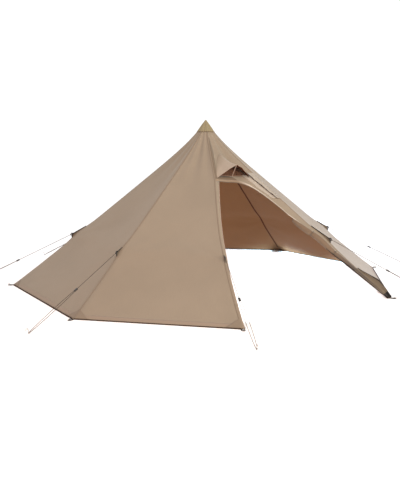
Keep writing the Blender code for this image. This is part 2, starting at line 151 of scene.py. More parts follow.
def foldLift(bay, s, t):
    # how far the cloth stands out of its even curve
    k = bay % bayCount
    keep = min(1.0, folds["ridgeFade"] * min(s, 1 - s))
    if keep <= 0:
        return 0
    width = bayWidth(bay, max(t, 0.02))
    fan, wave = folds["fan"], folds["wave"]
    lift = fan["deep"] * exp(-((t - fan["middle"]) / fan["spread"]) ** 2)
    lift *= sin(2 * pi * fan["count"] * (s + fan["shift"] * k) + fan["turn"] * k)
    for corner, away in ((k, s * width), (k + 1, width - s * width)):
        lift += rays(away, (t - guyPlace(corner)) * ridgeLength, folds["guy"], corner)
        lift += rays(away, (t - 1) * ridgeLength, folds["corner"], corner)
    place = Vector((wave["across"] * s + wave["apart"] * k, wave["down"] * t, 0.0))
    lift += wave["deep"] * noise.noise(place) * min(1.0, wave["grows"] * t)
    return lift * keep * min(1.0, max(1 - t, 0) / folds["hemFade"])     # the hem stays on the ground


def clothPoint(bay, s, t, lift=0.0):
    # a place on the outer face of the canvas, moved out by lift
    point = ridgePoint(bay, t).lerp(ridgePoint(bay + 1, t), s)
    down = (t - capEnds) / (1 - capEnds)
    sag = tent["baySag"] * sin(pi * s) * 4 * down * (1 - down)
    edge = min(max(min(s, 1 - s) * bayWidth(bay, t) / tent["ridgeBlend"], 0), 1)
    near = bay if s < 0.5 else bay + 1
    out = ridgeNormal(near).lerp(bayNormal(bay), edge)
    return point + bayNormal(bay) * (foldLift(bay, s, t) - sag) + out * lift


# metres that each layer lies over the canvas
layers = {"seam": 0.0003, "hemFold": 0.0003, "creaseShade": 0.0004, "hoodShade": 0.0005, "binding": 0.0006,
          "jack": 0.0006, "hem": 0.0011, "patch": 0.0012}


def acrossRidge(k, t, d, lift):
    # d metres to the right of ridge k, on the cloth
    if d < 0:
        bay = (k - 1) % bayCount
        return clothPoint(bay, 1 + d / bayWidth(bay, t), t, lift)
    return clothPoint(k % bayCount, d / bayWidth(k, t), t, lift)


print("measures ready")


# Materials

def plug(tree, socket, value):
    # value is a number, a colour or another node's output
    if isinstance(value, bpy.types.NodeSocket):
        tree.links.new(value, socket)
    elif socket.type == "RGBA":
        socket.default_value = (*value, 1.0)
    else:
        socket.default_value = value


def addNode(tree, kind, sockets, **settings):
    node = tree.nodes.new("ShaderNode" + kind)
    for key, value in settings.items():
        setattr(node, key, value)
    for name, value in sockets.items():
        plug(tree, node.inputs[name], value)
    return node


def mathNode(tree, operation, first, second=0.0):
    return addNode(tree, "Math", {0: first, 1: second}, operation=operation).outputs[0]


def noiseNode(tree, where, scale, detail=3.0, stretch=(1, 1, 1)):
    mapping = addNode(tree, "Mapping", {"Vector": where, "Scale": stretch})
    sockets = {"Vector": mapping.outputs[0], "Scale": scale, "Detail": detail}
    return addNode(tree, "TexNoise", sockets).outputs["Fac"]


def mixColours(tree, factor, first, second, blend="MIX"):
    # 6 and 7 are the mix node's colour sockets
    mix = addNode(tree, "Mix", {0: factor, 6: first, 7: second}, data_type="RGBA", blend_type=blend)
    return mix.outputs[2]


def spread(tree, value, low, high, middle=(0.3, 0.7)):
    # stretches the middle of a noise to run from low to high
    sockets = {"Value": value, "From Min": middle[0], "From Max": middle[1], "To Min": low, "To Max": high}
    return addNode(tree, "MapRange", sockets).outputs["Result"]


def shaded(tree, colour, tone):
    # the colour, lighter and darker with a grey tone
    grey = addNode(tree, "CombineColor", {0: tone, 1: tone, 2: tone})
    return mixColours(tree, 1.0, colour, grey.outputs[0], "MULTIPLY")


def whereNode(tree, kind):
    return addNode(tree, "TexCoord", {}).outputs[kind]


def addBump(tree, shader, height, strength, deep):
    bump = addNode(tree, "Bump", {"Height": height, "Strength": strength, "Distance": deep})
    plug(tree, shader.inputs["Normal"], bump.outputs[0])


def newMaterial(name, rough, metal=0.0, sheen=0.0, gloss=0.15):
    made = bpy.data.materials.new(name)
    made.use_nodes = True
    shader = made.node_tree.nodes["Principled BSDF"]
    values = {"Roughness": rough, "Metallic": metal, "Sheen Weight": sheen, "Sheen Roughness": 0.45,
              "Specular IOR Level": gloss}
    for socket, value in values.items():
        shader.inputs[socket].default_value = value
    return made, made.node_tree, shader


waveLength = 0.314     # metres between the wave node's bands at scale 1


def weaveHeight(tree, uv, thread):
    # plain weave: warp and weft waves, one thread apart
    waves = []
    for direction in ("X", "Y"):
        sockets = {"Vector": uv, "Scale": waveLength / thread, "Distortion": 0.6, "Detail Scale": 2.0}
        waves.append(addNode(tree, "TexWave", sockets, bands_direction=direction).outputs["Fac"])
    return mathNode(tree, "MAXIMUM", *waves)


# metres, the share of the pitch that the thread shows, and its height where the weave's is 1
stitch = {"pitch": 0.006, "shown": 0.62, "half": 0.0011, "high": 1.6}


def stitchMask(tree, split, rows):
    # 1 on the stitches: short dashes in rows that run along the strip
    along = mathNode(tree, "FRACT", mathNode(tree, "DIVIDE", split.outputs[0], stitch["pitch"]))
    dash = mathNode(tree, "LESS_THAN", along, stitch["shown"])
    total = 0.0
    for row in rows:
        off = mathNode(tree, "ABSOLUTE", mathNode(tree, "SUBTRACT", split.outputs[1], row))
        line = mathNode(tree, "MULTIPLY", mathNode(tree, "LESS_THAN", off, stitch["half"]), dash)
        total = mathNode(tree, "MAXIMUM", total, line)
    return total


# what each grain of the cloth follows, its scale, detail, stretch and share of the mottling
grains = (("Object", 1.6, 3.0, (1, 1, 1), 1.0), ("UV", 9.0, 4.0, (14, 1, 1), 0.4),
          ("UV", 420.0, 2.0, (1, 1, 1), 0.6))
clothRough, weaveDeep = 0.82, 0.0004


def clothMaterial(name, colour, thread=0.0011, sheen=0.10, mottle=0.04, weave=0.35, stitches=(),
                  stitchColour=(0.2, 0.15, 0.1), edgeWide=0.0, edgeColour=None, shadingStartColour=None,
                  shadingStartFades=(0.0, 1.0)):
    made, tree, shader = newMaterial(name, clothRough, sheen=sheen)
    uv = whereNode(tree, "UV")
    split = addNode(tree, "SeparateXYZ", {"Vector": uv})
    tone = 1.0
    for follows, scale, detail, stretch, share in grains:
        grain = noiseNode(tree, whereNode(tree, follows), scale, detail, stretch)
        tone = mathNode(tree, "MULTIPLY", tone, spread(tree, grain, 1 - share * mottle, 1 + share * mottle))
    shown = shaded(tree, colour, tone)
    height = weaveHeight(tree, uv, thread)
    if shadingStartColour:
        # painted light and shade: the first stretch of the cloth has another colour, which fades out
        sockets = {"Value": split.outputs[0], "From Min": shadingStartFades[0], "From Max": shadingStartFades[1]}
        shown = mixColours(tree, addNode(tree, "MapRange", sockets).outputs[0], shadingStartColour, shown)
    if edgeColour:
        edge = mathNode(tree, "LESS_THAN", split.outputs[1], edgeWide)
        shown = mixColours(tree, edge, shown, edgeColour)
    if stitches:
        mask = stitchMask(tree, split, stitches)
        shown = mixColours(tree, mask, shown, stitchColour)
        height = mathNode(tree, "ADD", height, mathNode(tree, "MULTIPLY", mask, stitch["high"]))
    plug(tree, shader.inputs["Base Color"], shown)
    addBump(tree, shader, height, weave, weaveDeep)
    return made


finish = {"wearScale": 26.0, "wear": 0.14, "uneven": 0.08, "bump": 0.15, "bumpDeep": 0.0003}


def mouldedMaterial(name, colour, rough, metal=0.0, scale=300.0, brushed=(1, 1, 1)):
    made, tree, shader = newMaterial(name, rough, metal, gloss=0.5)
    where = whereNode(tree, "Object")
    grain = noiseNode(tree, where, scale, 3.0, brushed)
    wear = spread(tree, noiseNode(tree, where, finish["wearScale"]), 1 - finish["wear"], 1 + finish["wear"])
    rubbed = spread(tree, grain, rough - finish["uneven"], rough + finish["uneven"])
    plug(tree, shader.inputs["Base Color"], shaded(tree, colour, wear))
    plug(tree, shader.inputs["Roughness"], rubbed)
    addBump(tree, shader, grain, finish["bump"], finish["bumpDeep"])
    return made


# threads, stitch rows, edges and fades are in metres
cloths = {
    "canvasOutside": {"colour": (0.236, 0.197, 0.148)},
    # painted light and shade: the inside face of the same canvas, darker and redder for the shade in the
    # tent and the warm light through the cloth
    "canvasInsideShade": {"colour": (0.182, 0.084, 0.034), "sheen": 0.05},
    # painted shade of a crease beside the left post's ridge
    "creaseShadeCanvas": {"colour": (0.155, 0.120, 0.084)},
    # painted shade that the vent's hood casts above the doorway
    "hoodShadeCanvas": {"colour": (0.136, 0.100, 0.068)},
    # painted shade: the door's own canvas, darker where its corner is folded back
    "foldedCanvasShade": {"colour": (0.136, 0.111, 0.080), "mottle": 0.12},
    # painted shade: the fins' tan cloth, darker as on their shaded side
    "finCanvasShade": {"colour": (0.145, 0.115, 0.082)},
    # painted shade: the rolled door's own canvas, very dark along most of the roll and lighter brown along
    # its top stretch
    "rolledCanvasShade": {"colour": (0.074, 0.061, 0.052), "mottle": 0.12, "shadingStartColour": (0.150, 0.106, 0.072),
                     "shadingStartFades": (0.60, 0.98)},
    "capCanvas": {"colour": (0.225, 0.192, 0.114), "thread": 0.0014, "stitches": (0.012, 0.018),
                  "edgeWide": 0.009, "edgeColour": (0.120, 0.090, 0.058)},
    # painted light: the hood's canvas is the roof's colour where it leaves the roof and lighter out to its
    # lip
    "ventHoodCanvasLit": {"colour": (0.325, 0.270, 0.212), "shadingStartColour": (0.236, 0.197, 0.148),
                       "shadingStartFades": (0.03, 0.22)},
    # painted shade: the underside of the hood's canvas, dark red-brown for the shade under it and the light
    # through the cloth
    "ventHoodUndersideShade": {"colour": (0.120, 0.045, 0.020), "sheen": 0.0},
    # painted shade: the hole's binding, dark red-brown for the shade under the hood
    "ventHoleBindingShade": {"colour": (0.170, 0.086, 0.052), "stitches": (0.006, 0.018)},
    "ventPropSleeve": {"colour": (0.240, 0.165, 0.125)},
    "hoodLipBinding": {"colour": (0.400, 0.310, 0.265), "stitches": (0.004,)},
    "postBinding": {"colour": (0.300, 0.238, 0.188), "stitches": (0.004,)},
    # painted shade: the binding is darker over its first stretch from the left post, where it faces down
    "archBinding": {"colour": (0.480, 0.430, 0.370), "stitches": (0.004, 0.040),
                    "shadingStartColour": (0.245, 0.188, 0.132), "shadingStartFades": (0.36, 0.52)},
    "ridgeSeam": {"colour": (0.200, 0.160, 0.118), "stitches": (0.004, 0.022)},
    "innerSeamTape": {"colour": (0.056, 0.016, 0.004), "sheen": 0.0, "stitches": (0.003, 0.029),
                      "stitchColour": (0.10, 0.05, 0.028)},
    "hemFoldCanvas": {"colour": (0.240, 0.190, 0.144), "stitches": (0.003, 0.056)},
    "hemWebbing": {"colour": (0.044, 0.029, 0.020), "thread": 0.0018, "sheen": 0.0, "weave": 0.6,
                   "stitches": (0.004,), "stitchColour": (0.06, 0.04, 0.03)},
    # painted shade: a darker copy of the hem webbing for its part inside the tent
    "hemWebbingInsideShade": {"colour": (0.027, 0.013, 0.007), "thread": 0.0018, "sheen": 0.0, "weave": 0.6},
    "doorHemWebbing": {"colour": (0.024, 0.018, 0.014), "thread": 0.0018, "sheen": 0.05, "weave": 0.6},
    "doorStrapWebbing": {"colour": (0.120, 0.094, 0.070), "thread": 0.0016, "weave": 0.6},
    "blackWebbing": {"colour": (0.018, 0.017, 0.016), "thread": 0.0016, "sheen": 0.12, "mottle": 0.15,
                     "weave": 0.8},
    "zipTape": {"colour": (0.16, 0.11, 0.075), "thread": 0.0009},
    "heatProofCloth": {"colour": (0.345, 0.310, 0.262), "thread": 0.004, "mottle": 0.12, "weave": 0.9,
                       "stitches": (0.006,)},
    "jackFlapCloth": {"colour": (0.315, 0.285, 0.240), "thread": 0.004, "mottle": 0.08, "weave": 0.8,
                      "stitches": (0.004,)},
    "flapEdgeTape": {"colour": (0.115, 0.092, 0.072)},
    "guyCordBraid": {"colour": (0.050, 0.041, 0.032), "thread": 0.0012, "weave": 0.9},
}
hardParts = {
    "blackPlastic": {"colour": (0.022, 0.021, 0.020), "rough": 0.42},
    "zipTeeth": {"colour": (0.10, 0.075, 0.05), "rough": 0.38},
    "pegSteel": {"colour": (0.52, 0.51, 0.50), "rough": 0.34, "metal": 1.0},
    "poleAluminium": {"colour": (0.56, 0.56, 0.57), "rough": 0.33, "metal": 1.0, "scale": 60.0,
                      "brushed": (1, 1, 0.02)},
}
# the holes are painted dark: painted shade of the inside seen through the netting
net = {"colour": (0.215, 0.112, 0.072), "holeShadeColour": (0.040, 0.016, 0.009), "pitch": 0.0035,
       "open": 0.55, "rough": 0.9, "bump": 0.6, "bumpDeep": 0.0008}


def nettingMaterial():
    made, tree, shader = newMaterial("ventNetting", net["rough"])
    grid = weaveHeight(tree, whereNode(tree, "UV"), net["pitch"])
    holes = mathNode(tree, "LESS_THAN", grid, net["open"])
    plug(tree, shader.inputs["Base Color"], mixColours(tree, holes, net["colour"], net["holeShadeColour"]))
    addBump(tree, shader, grid, net["bump"], net["bumpDeep"])
    return made


cloth = {name: clothMaterial(name, **look) for name, look in cloths.items()}
hard = {name: mouldedMaterial(name, **look) for name, look in hardParts.items()}
netting = nettingMaterial()
print("materials ready")


# Makers: a shape is (points, faces, places on the cloth as cut, material number)

def newPiece(name, shapes, materials):
    points, faces, uvs, marks = [], [], [], []
    for shape in shapes:
        start = len(points)
        points += shape[0]
        faces += [tuple(start + x for x in face) for face in shape[1]]
        uvs += shape[2]
        marks += [shape[3]] * len(shape[1])
    mesh = bpy.data.meshes.new(name)
    mesh.from_pydata([tuple(point) for point in points], [], faces)
    layer = mesh.uv_layers.new(name="UVMap")
    for polygon in mesh.polygons:
        polygon.use_smooth = True
        polygon.material_index = marks[polygon.index]
        for loop in polygon.loop_indices:
            layer.data[loop].uv = uvs[polygon.index][loop - polygon.loop_start]
    for material in materials:
        mesh.materials.append(material)
    piece = bpy.data.objects.new(name, mesh)
    bpy.context.scene.collection.objects.link(piece)
    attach(piece, "root")
    return piece


def weldedPiece(name, shapes, materials, near=0.00005):
    piece = newPiece(name, shapes, materials)
    piece.modifiers.new("sewn", "WELD").merge_threshold = near
    return piece


def thicken(piece, thick, offset=1.0, inner=0):
    # offset 1 grows the cloth outwards and -1 inwards; inner counts slots on to its other face
    shell = piece.modifiers.new("thickness", "SOLIDIFY")
    shell.thickness = thick
    shell.offset = offset
    shell.use_even_offset = True
    shell.material_offset = inner
    shell.material_offset_rim = inner
    return piece


def addCloth(piece, material, isThere):
    # another material for the faces whose numbers pass
    piece.data.materials.append(material)
    for polygon in piece.data.polygons:
        polygon.material_index = int(isThere(polygon.index))


def gridShape(columns, rows, place, flat, skip=None):
    # place(u, v) gives a point and flat(u, v) its place on the cloth as cut; u runs right, v down
    spots = [(i / columns, j / rows) for j in range(rows + 1) for i in range(columns + 1)]
    cut = [flat(*spot) for spot in spots]
    faces = []
    for j in range(rows):
        for i in range(columns):
            if not (skip and skip((i + 0.5) / columns, (j + 0.5) / rows)):
                a = j * (columns + 1) + i
                faces.append((a, a + columns + 1, a + columns + 2, a + 1))
    return [place(*spot) for spot in spots], faces, [[cut[x] for x in face] for face in faces], 0


def cutTo(wide, high, turned=False):
    # places on a flat piece of that size; turned, its height lies along the cloth's first direction
    if turned:
        return lambda u, v: (high * v, wide * u)
    return lambda u, v: (wide * u, high * v)


def strip(name, steps, place, widths, material, thick=0.0010, offset=1.0):
    # a band of cloth: place(u, d) is its point at u along it and d metres across
    last = len(widths) - 1
    edge = [place(i / steps, widths[0]) for i in range(steps + 1)]
    lengths = [0.0]
    for a, b in zip(edge, edge[1:]):
        lengths.append(lengths[-1] + (b - a).length)
    shape = gridShape(last, steps, lambda u, v: place(v, widths[round(u * last)]),
                      lambda u, v: (lengths[round(v * steps)], widths[round(u * last)] - widths[0]))
    return thicken(newPiece(name, [shape], [material]), thick, offset)


def sweep(path, section, side=None, closed=False, mark=0):
    # section(i) gives the outline around the path's point i, across and up;
    # side is the way across, or a function that gives it for each point
    count = len(path)
    points, faces, uvs = [], [], []
    across = None
    lengths = []
    for i, point in enumerate(path):
        before = path[(i - 1) % count] if closed or i > 0 else point
        after = path[(i + 1) % count] if closed or i < count - 1 else point
        along = (after - before).normalized()
        if side is not None:
            across = side(i) if callable(side) else side
        elif across is None:
            across = along.orthogonal()
        across = (across - along * across.dot(along)).normalized()
        over = along.cross(across)
        outline = section(i)
        points += [point + across * a + over * b for a, b in outline]
        lengths.append(lengths[-1] + (point - path[i - 1]).length if i else 0.0)
    ring = len(outline)
    around = [0.0]
    for j in range(ring):
        a, b = outline[j], outline[(j + 1) % ring]
        around.append(around[-1] + hypot(a[0] - b[0], a[1] - b[1]))
    lengths.append(lengths[-1] + 0.01)
    for i in range(count if closed else count - 1):
        near, far = i * ring, (i + 1) % count * ring
        for j in range(ring):
            k = (j + 1) % ring
            faces.append((near + j, near + k, far + k, far + j))
            uvs.append([(lengths[i], around[j]), (lengths[i], around[j + 1]),
                        (lengths[i + 1], around[j + 1]), (lengths[i + 1], around[j])])
    if not closed:
        for first, order in ((0, -1), ((count - 1) * ring, 1)):
            faces.append(tuple(first + j for j in range(ring))[::order])
            uvs.append([(0.001 * cos(j), 0.001 * sin(j)) for j in range(ring)])
    return points, faces, uvs, mark


def roundSection(radius, sides=10, flat=1.0):
    # radius is a number, or a list with one for each point of the path
    def outline(i):
        size = radius[i] if isinstance(radius, list) else radius
        turns = [2 * pi * j / sides for j in range(sides)]
        return [(size * cos(turn), flat * size * sin(turn)) for turn in turns]
    return outline


def strapSection(width, thick, rounded=0.8):
    # webbing: flat, with rounded selvedges
    half, rise = width / 2, thick / 2
    inner = half - rise * rounded
    outline = [(-half, 0), (-inner, -rise), (inner, -rise), (half, 0), (inner, rise), (-inner, rise)]
    return lambda i: outline


def smoothPath(knots, steps):
    # a smooth curve through the knots
    ends = [knots[0] * 2 - knots[1]] + list(knots) + [knots[-1] * 2 - knots[-2]]
    path = []
    for i in range(1, len(ends) - 2):
        a, b, c, d = ends[i - 1:i + 3]
        for j in range(steps):
            x = j / steps
            path.append(0.5 * (2 * b + (c - a) * x + (2 * a - 5 * b + 4 * c - d) * x ** 2
                               + (3 * b - a - 3 * c + d) * x ** 3))
    return path + [ends[-2].copy()]


# Canopy

canopy = {
    "columns": 30, "rows": 100, "doorColumns": 26, "postColumns": 3,
    "tuckedUnderCap": 0.030,     # share of the ridge where the sheet starts
    "archFoot": 0.53,            # share of the ridge where the arch ends in the strip by the right ridge
    "archWide": 0.31, "archRise": 1.333, "archSteps": 2.6,     # powers that shape the arch
    "stripWidths": (0.147, 0.012), "stripNarrows": 2.6,        # metres at the arch's foot and at the hem
    "postWidths": (0.065, 0.030), "postFlat": 0.05,
    "flat": (8.6, 6.4),          # the gores laid side by side, tip to hem
    "area": 24.0,
    "goreStep": 3.0,             # metres from one gore to the next as they are laid out
}
vent = {
    # shares of the bay's width and of the ridge
    "left": 0.06, "right": 0.82, "sill": 0.297, "attached": 0.165,
    "holeLeft": 0.13, "holeRight": 0.78, "holeHeight": 0.098, "holeCurve": 0.8,
    "sillStrip": 0.012, "holeEnds": 0.014,
    "reach": 0.178,              # metres that the hood's lip stands out
}
# binding and zip round the arch, in metres
arch = {"bindingWide": 0.044, "bindingStarts": 0.004, "bindingLong": 0.994, "bindingFits": 0.92,
        "zipWide": 0.024, "zipShown": 0.006, "zipBehind": 0.0033,
        "coilWide": 0.006, "coilThick": 0.003, "coilBehind": 0.0036, "steps": 90,
        "starts": 0.02,              # share of the rim where the zip starts
        "roomPower": 0.75}           # turns a fall below the arch's top back into a place along it
archFoot = canopy["archFoot"]
ventFoot = vent["sill"] - vent["sillStrip"]


def doorWidth(t):
    return bayWidth(doorBay, t)


def stripShare(t):
    wide, narrow = canopy["stripWidths"]
    down = (t - archFoot) / (1 - archFoot)
    return 1 - (narrow + (wide - narrow) * max(1 - down, 0) ** canopy["stripNarrows"]) / doorWidth(t)


def doorEdge(u):
    # the doorway's rim: over the arch from the left post, then down beside the right ridge
    if u <= 0.5:
        turn = pi / 2 * (u / 0.5) ** canopy["archSteps"]
        fall = 1 - max(cos(turn), 0) ** canopy["archRise"]
        return stripShare(archFoot) * sin(turn) ** canopy["archWide"], doorTop + (archFoot - doorTop) * fall
    t = archFoot + (1 - archFoot) * (u - 0.5) / 0.5
    return stripShare(t), t


def archRoom(t):
    # metres from the arch's binding to the right ridge
    if t <= doorTop:
        return 1.0
    fall = min((t - doorTop) / (archFoot - doorTop), 1)
    turn = acos((1 - fall) ** arch["roomPower"])
    reach = stripShare(archFoot) * sin(turn) ** canopy["archWide"]
    return (1 - reach) * doorWidth(t) - arch["bindingWide"]


def doorPlace(u, v):
    # v from the roof's side (0) to the doorway's rim (1)
    roof = (min(u / 0.5, 1.0), roofShare(max(u - 0.5, 0) / 0.5))
    rim = doorEdge(u)
    return roof[0] + (rim[0] - roof[0]) * v, roof[1] + (rim[1] - roof[1]) * v


def postWide(t):
    # metres of cloth beside the left post
    wide, narrow = canopy["postWidths"]
    return narrow + (wide - narrow) * (1 - (t - doorTop) / (1 - doorTop)) ** 2


def ventTop(s):
    u = min(max((s - vent["holeLeft"]) / (vent["holeRight"] - vent["holeLeft"]), 0), 1)
    return vent["sill"] - vent["holeEnds"] - vent["holeHeight"] * sin(pi * u) ** vent["holeCurve"]


def inVent(s, t):
    return vent["holeLeft"] < s < vent["holeRight"] and ventTop(s) < t < ventFoot


def doorRows(u, count, fine=500):
    # the rows of the door's grid at u, with two of them moved on to the edge of the vent's hole
    rows = [j / count for j in range(count + 1)]
    inside = [k / fine for k in range(fine + 1) if inVent(*doorPlace(u, k / fine))]
    if not inside:
        return rows, range(0)
    first = round(inside[0] * count)
    last = max(round(inside[-1] * count), first + 1)
    rows[first], rows[last] = inside[0], inside[-1]
    return rows, range(first, last)


def flatPlace(bay, s, t):
    # where a point lies on the gore as cut, in metres
    return (s - 0.5) * bayWidth(bay, max(t, 0.01)) + canopy["goreStep"] * bay, t * ridgeLength


def bayShape(bay, columns, rows, first, last):
    # one bay's cloth between two shares of the ridge
    def down(v):
        return first + (last - first) * v
    return gridShape(columns, rows, lambda u, v: clothPoint(bay, u, down(v)),
                     lambda u, v: flatPlace(bay, u, down(v)))


def makeCanopy():
    rows, columns = canopy["rows"], canopy["columns"]
    shapes = [bayShape(bay, columns, rows, capEnds, 1.0) for bay in range(bayCount) if bay != doorBay]

    # the door bay above and beside the doorway, with the vent's hole left open
    across, down = 2 * rows, canopy["doorColumns"]
    lines = [doorRows(i / across, down) for i in range(across + 1)]

    def doorCell(u, v):
        return doorPlace(u, lines[round(u * across)][0][round(v * down)])

    def isHole(u, v):
        i, j = int(u * across), int(v * down)
        return j in lines[i][1] and j in lines[i + 1][1]
    shapes.append(gridShape(across, down, lambda u, v: clothPoint(doorBay, *doorCell(u, v)),
                            lambda u, v: flatPlace(doorBay, *doorCell(u, v)), isHole))

    # the strip beside the left post
    def postDown(v):
        return doorTop + (1 - doorTop) * v
    shapes.append(gridShape(canopy["postColumns"], rows - round(rows * tent["doorStarts"]),
                            lambda u, v: acrossRidge(doorBay, postDown(v), u * postWide(postDown(v)), 0.0),
                            lambda u, v: flatPlace(doorBay, u * canopy["postFlat"], postDown(v))))

    # a collar that goes on up under the cap
    for bay in range(bayCount):
        around = rows if bay == doorBay else columns
        shapes.append(bayShape(bay, around, 2, canopy["tuckedUnderCap"], capEnds))
    piece = weldedPiece("canopy", shapes, [cloth["canvasOutside"], cloth["canvasInsideShade"]])
    # the inner face takes the painted shade of the inside
    thicken(piece, clothThick, -1.0, inner=1)
    bays = ("side_left", "front_left", "door", "front_right", "side_right", "rear_right", "rear",
            "rear_left")
    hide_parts(*[bay + "_wall" for bay in bays], "door_post_flap")


makeCanopy()
print("canopy ready")


# Seams, hems and patches

sewn = {
    "seamHalf": 0.011, "seamThick": 0.0009, "seamEnds": 0.996,
    "tapeHalf": 0.016, "tapeEnds": 0.955, "tapeBehind": 0.0004, "tapeThick": 0.0010,
    "hemHigh": 0.021, "hemBehind": 0.0012, "hemTurn": 0.002,
    "hemShares": {3: (2.0, 1.0), 4: (1.0, 0.12)},     # of that height, outside and inside, in two bays
    "hemSteps": 24, "foldHigh": 0.060,
    "patchAlong": 0.165, "patchHigh": 0.13, "patchIn": 0.004, "patchGrid": (8, 8),
}
# painted crease shade: a darker strip beside the left post's ridge, where a crease falls in shade; metres
# across, shares of the ridge down
creaseShade = {"from": 0.010, "to": 0.062, "top": 0.075, "endsAbove": 0.012, "point": 0.25, "opens": 3.2,
           "narrows": 0.35}
cap = {
    "below": 0.004, "wave": 0.0012, "waves": 3, "away": 0.003,     # its lower edge
    "tipRadius": 0.006, "tipDrop": 0.0008, "gather": 0.009, "puff": 0.004, "thick": 0.0016,
    "columns": 12, "rows": 14, "tipRows": 3, "cut": (0.9, 0.19), "tipCut": 0.04,
}
hemBays = bayCount - 1       # all bays but the doorway's


def alongHem(u):
    # bay and share for u from 0 at the right doorpost to 1 at the left one
    place = u * hemBays
    bay = min(int(place), hemBays - 1)
    return (doorBay + 1 + bay) % bayCount, place - bay


def ridgeStrip(name, k, steps, ends, half, lift, material, thick, offset):
    strip(name, steps, lambda u, d: acrossRidge(k, capEnds + (ends - capEnds) * u, d, lift),
          [half * share for share in (-1, -0.5, 0, 0.5, 1)], cloth[material], thick, offset)


def makeSeams():
    for k in range(bayCount):
        ridgeStrip("ridge_seam_%d" % (k + 1), k, 90, sewn["seamEnds"], sewn["seamHalf"], layers["seam"],
                   "ridgeSeam", sewn["seamThick"], 1.0)
        ridgeStrip("inner_seam_tape_%d" % (k + 1), k, 60, sewn["tapeEnds"], sewn["tapeHalf"],
                   -clothThick - sewn["tapeBehind"], "innerSeamTape", sewn["tapeThick"], -1.0)


def makeCreaseShade():
    low, high = creaseShade["from"], creaseShade["to"]

    def place(u, d):
        t = creaseShade["top"] + (doorTop - creaseShade["endsAbove"] - creaseShade["top"]) * u
        point = creaseShade["point"]
        wide = point + (1 - point) * min(1.0, creaseShade["opens"] * u) * (1 - creaseShade["narrows"] * u)
        return acrossRidge(doorBay, t, low + (d - low) * wide, layers["creaseShade"])
    strip("post_crease_shade", 60, place, (low, (low + high) / 2, high), cloth["creaseShadeCanvas"],
          thick=0.0007)


def makeHem():
    high, fold = sewn["hemHigh"], sewn["foldHigh"]
    steps = sewn["hemSteps"] * hemBays

    def webbingPlace(u, d):
        # d runs from the outside (below 0) round the hem's edge to the inside
        bay, s = alongHem(u)
        outer, inner = sewn["hemShares"].get(bay, (1.0, 1.0))
        if d <= 0:
            point = clothPoint(bay, s, 1 + outer * d / ridgeLength, layers["hem"])
        else:
            point = clothPoint(bay, s, 1 - inner * d / ridgeLength, -clothThick - sewn["hemBehind"])
        point.z = max(point.z, 0.0)
        return point

    def foldPlace(u, d):
        bay, s = alongHem(u)
        return clothPoint(bay, s, 1 - (high + d) / ridgeLength, layers["hemFold"])

    hem = strip("hem_webbing", steps, webbingPlace, (-high, -high / 2, 0.0, sewn["hemTurn"], high / 2, high),
                cloth["hemWebbing"], thick=0.0008)
    # painted shade on the webbing's turn and inner rows
    addCloth(hem, cloth["hemWebbingInsideShade"], lambda face: face % 5 > 1)      # three of its five rows
    strip("hem_fold", steps, foldPlace, (fold, fold * 0.66, fold * 0.33, 0.0), cloth["hemFoldCanvas"],
          thick=0.0006)


def cornerPatch(bay, right):
    # a doubled triangle of canvas in one of the bay's pegged corners
    def place(u, v):
        t = 1 - (sewn["hemHigh"] + sewn["patchHigh"] * (1 - v)) / ridgeLength
        s = (sewn["patchIn"] + sewn["patchAlong"] * v * u) / bayWidth(bay, t)
        return clothPoint(bay, s if right else 1 - s, t, layers["patch"])
    points, faces, uvs, mark = gridShape(*sewn["patchGrid"], place, lambda u, v: (
        sewn["patchAlong"] * v * u, sewn["patchHigh"] * (1 - v)))
    if not right:
        faces = [face[::-1] for face in faces]
        uvs = [corner[::-1] for corner in uvs]
    return points, faces, uvs, mark


def makeCornerPatches():
    shapes = []
    for k in range(bayCount):
        for bay, right in ((k, True), ((k - 1) % bayCount, False)):
            if bay != doorBay:
                shapes.append(cornerPatch(bay, right))
    thicken(newPiece("corner_patches", shapes, [cloth["ridgeSeam"]]), 0.0008)


def makeCap():
    # the reinforced hood over the pole's tip, gathered to a point
    top = Vector((0, 0, tent["apexHeight"]))
    columns = cap["columns"] * bayCount

    def place(u, v):
        bay = min(int(u * bayCount), bayCount - 1)
        s = u * bayCount - bay
        edge = clothPoint(bay, s, capEnds + cap["below"] + cap["wave"] * sin(2 * pi * cap["waves"] * s),
                          cap["away"])
        out = Vector((edge.x, edge.y, 0)).normalized()
        bulge = sin(pi * (1 - v))
        point = edge.lerp(top + out * cap["tipRadius"], 1 - v)
        return point - out * cap["gather"] * bulge * abs(sin(pi * s)) + up * cap["puff"] * bulge

    def tipPlace(u, v):
        turn = cornerAngle(0) + 2 * pi * u
        return top + Vector((cos(turn), sin(turn), 0)) * cap["tipRadius"] * v - up * cap["tipDrop"] * v
    wide, high = cap["cut"]
    slope = gridShape(columns, cap["rows"], place, lambda u, v: (u * wide, (1 - v) * high))
    tip = gridShape(columns, cap["tipRows"], tipPlace, cutTo(cap["tipCut"], cap["tipRadius"]))
    piece = weldedPiece("cap_hood", [slope, tip], [cloth["capCanvas"]], near=0.0001)
    thicken(piece, cap["thick"], -1.0)
    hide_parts("apex_cap")


makeSeams()
makeCreaseShade()
makeHem()
makeCornerPatches()
makeCap()
print("seams, hems and cap ready")


# Vent

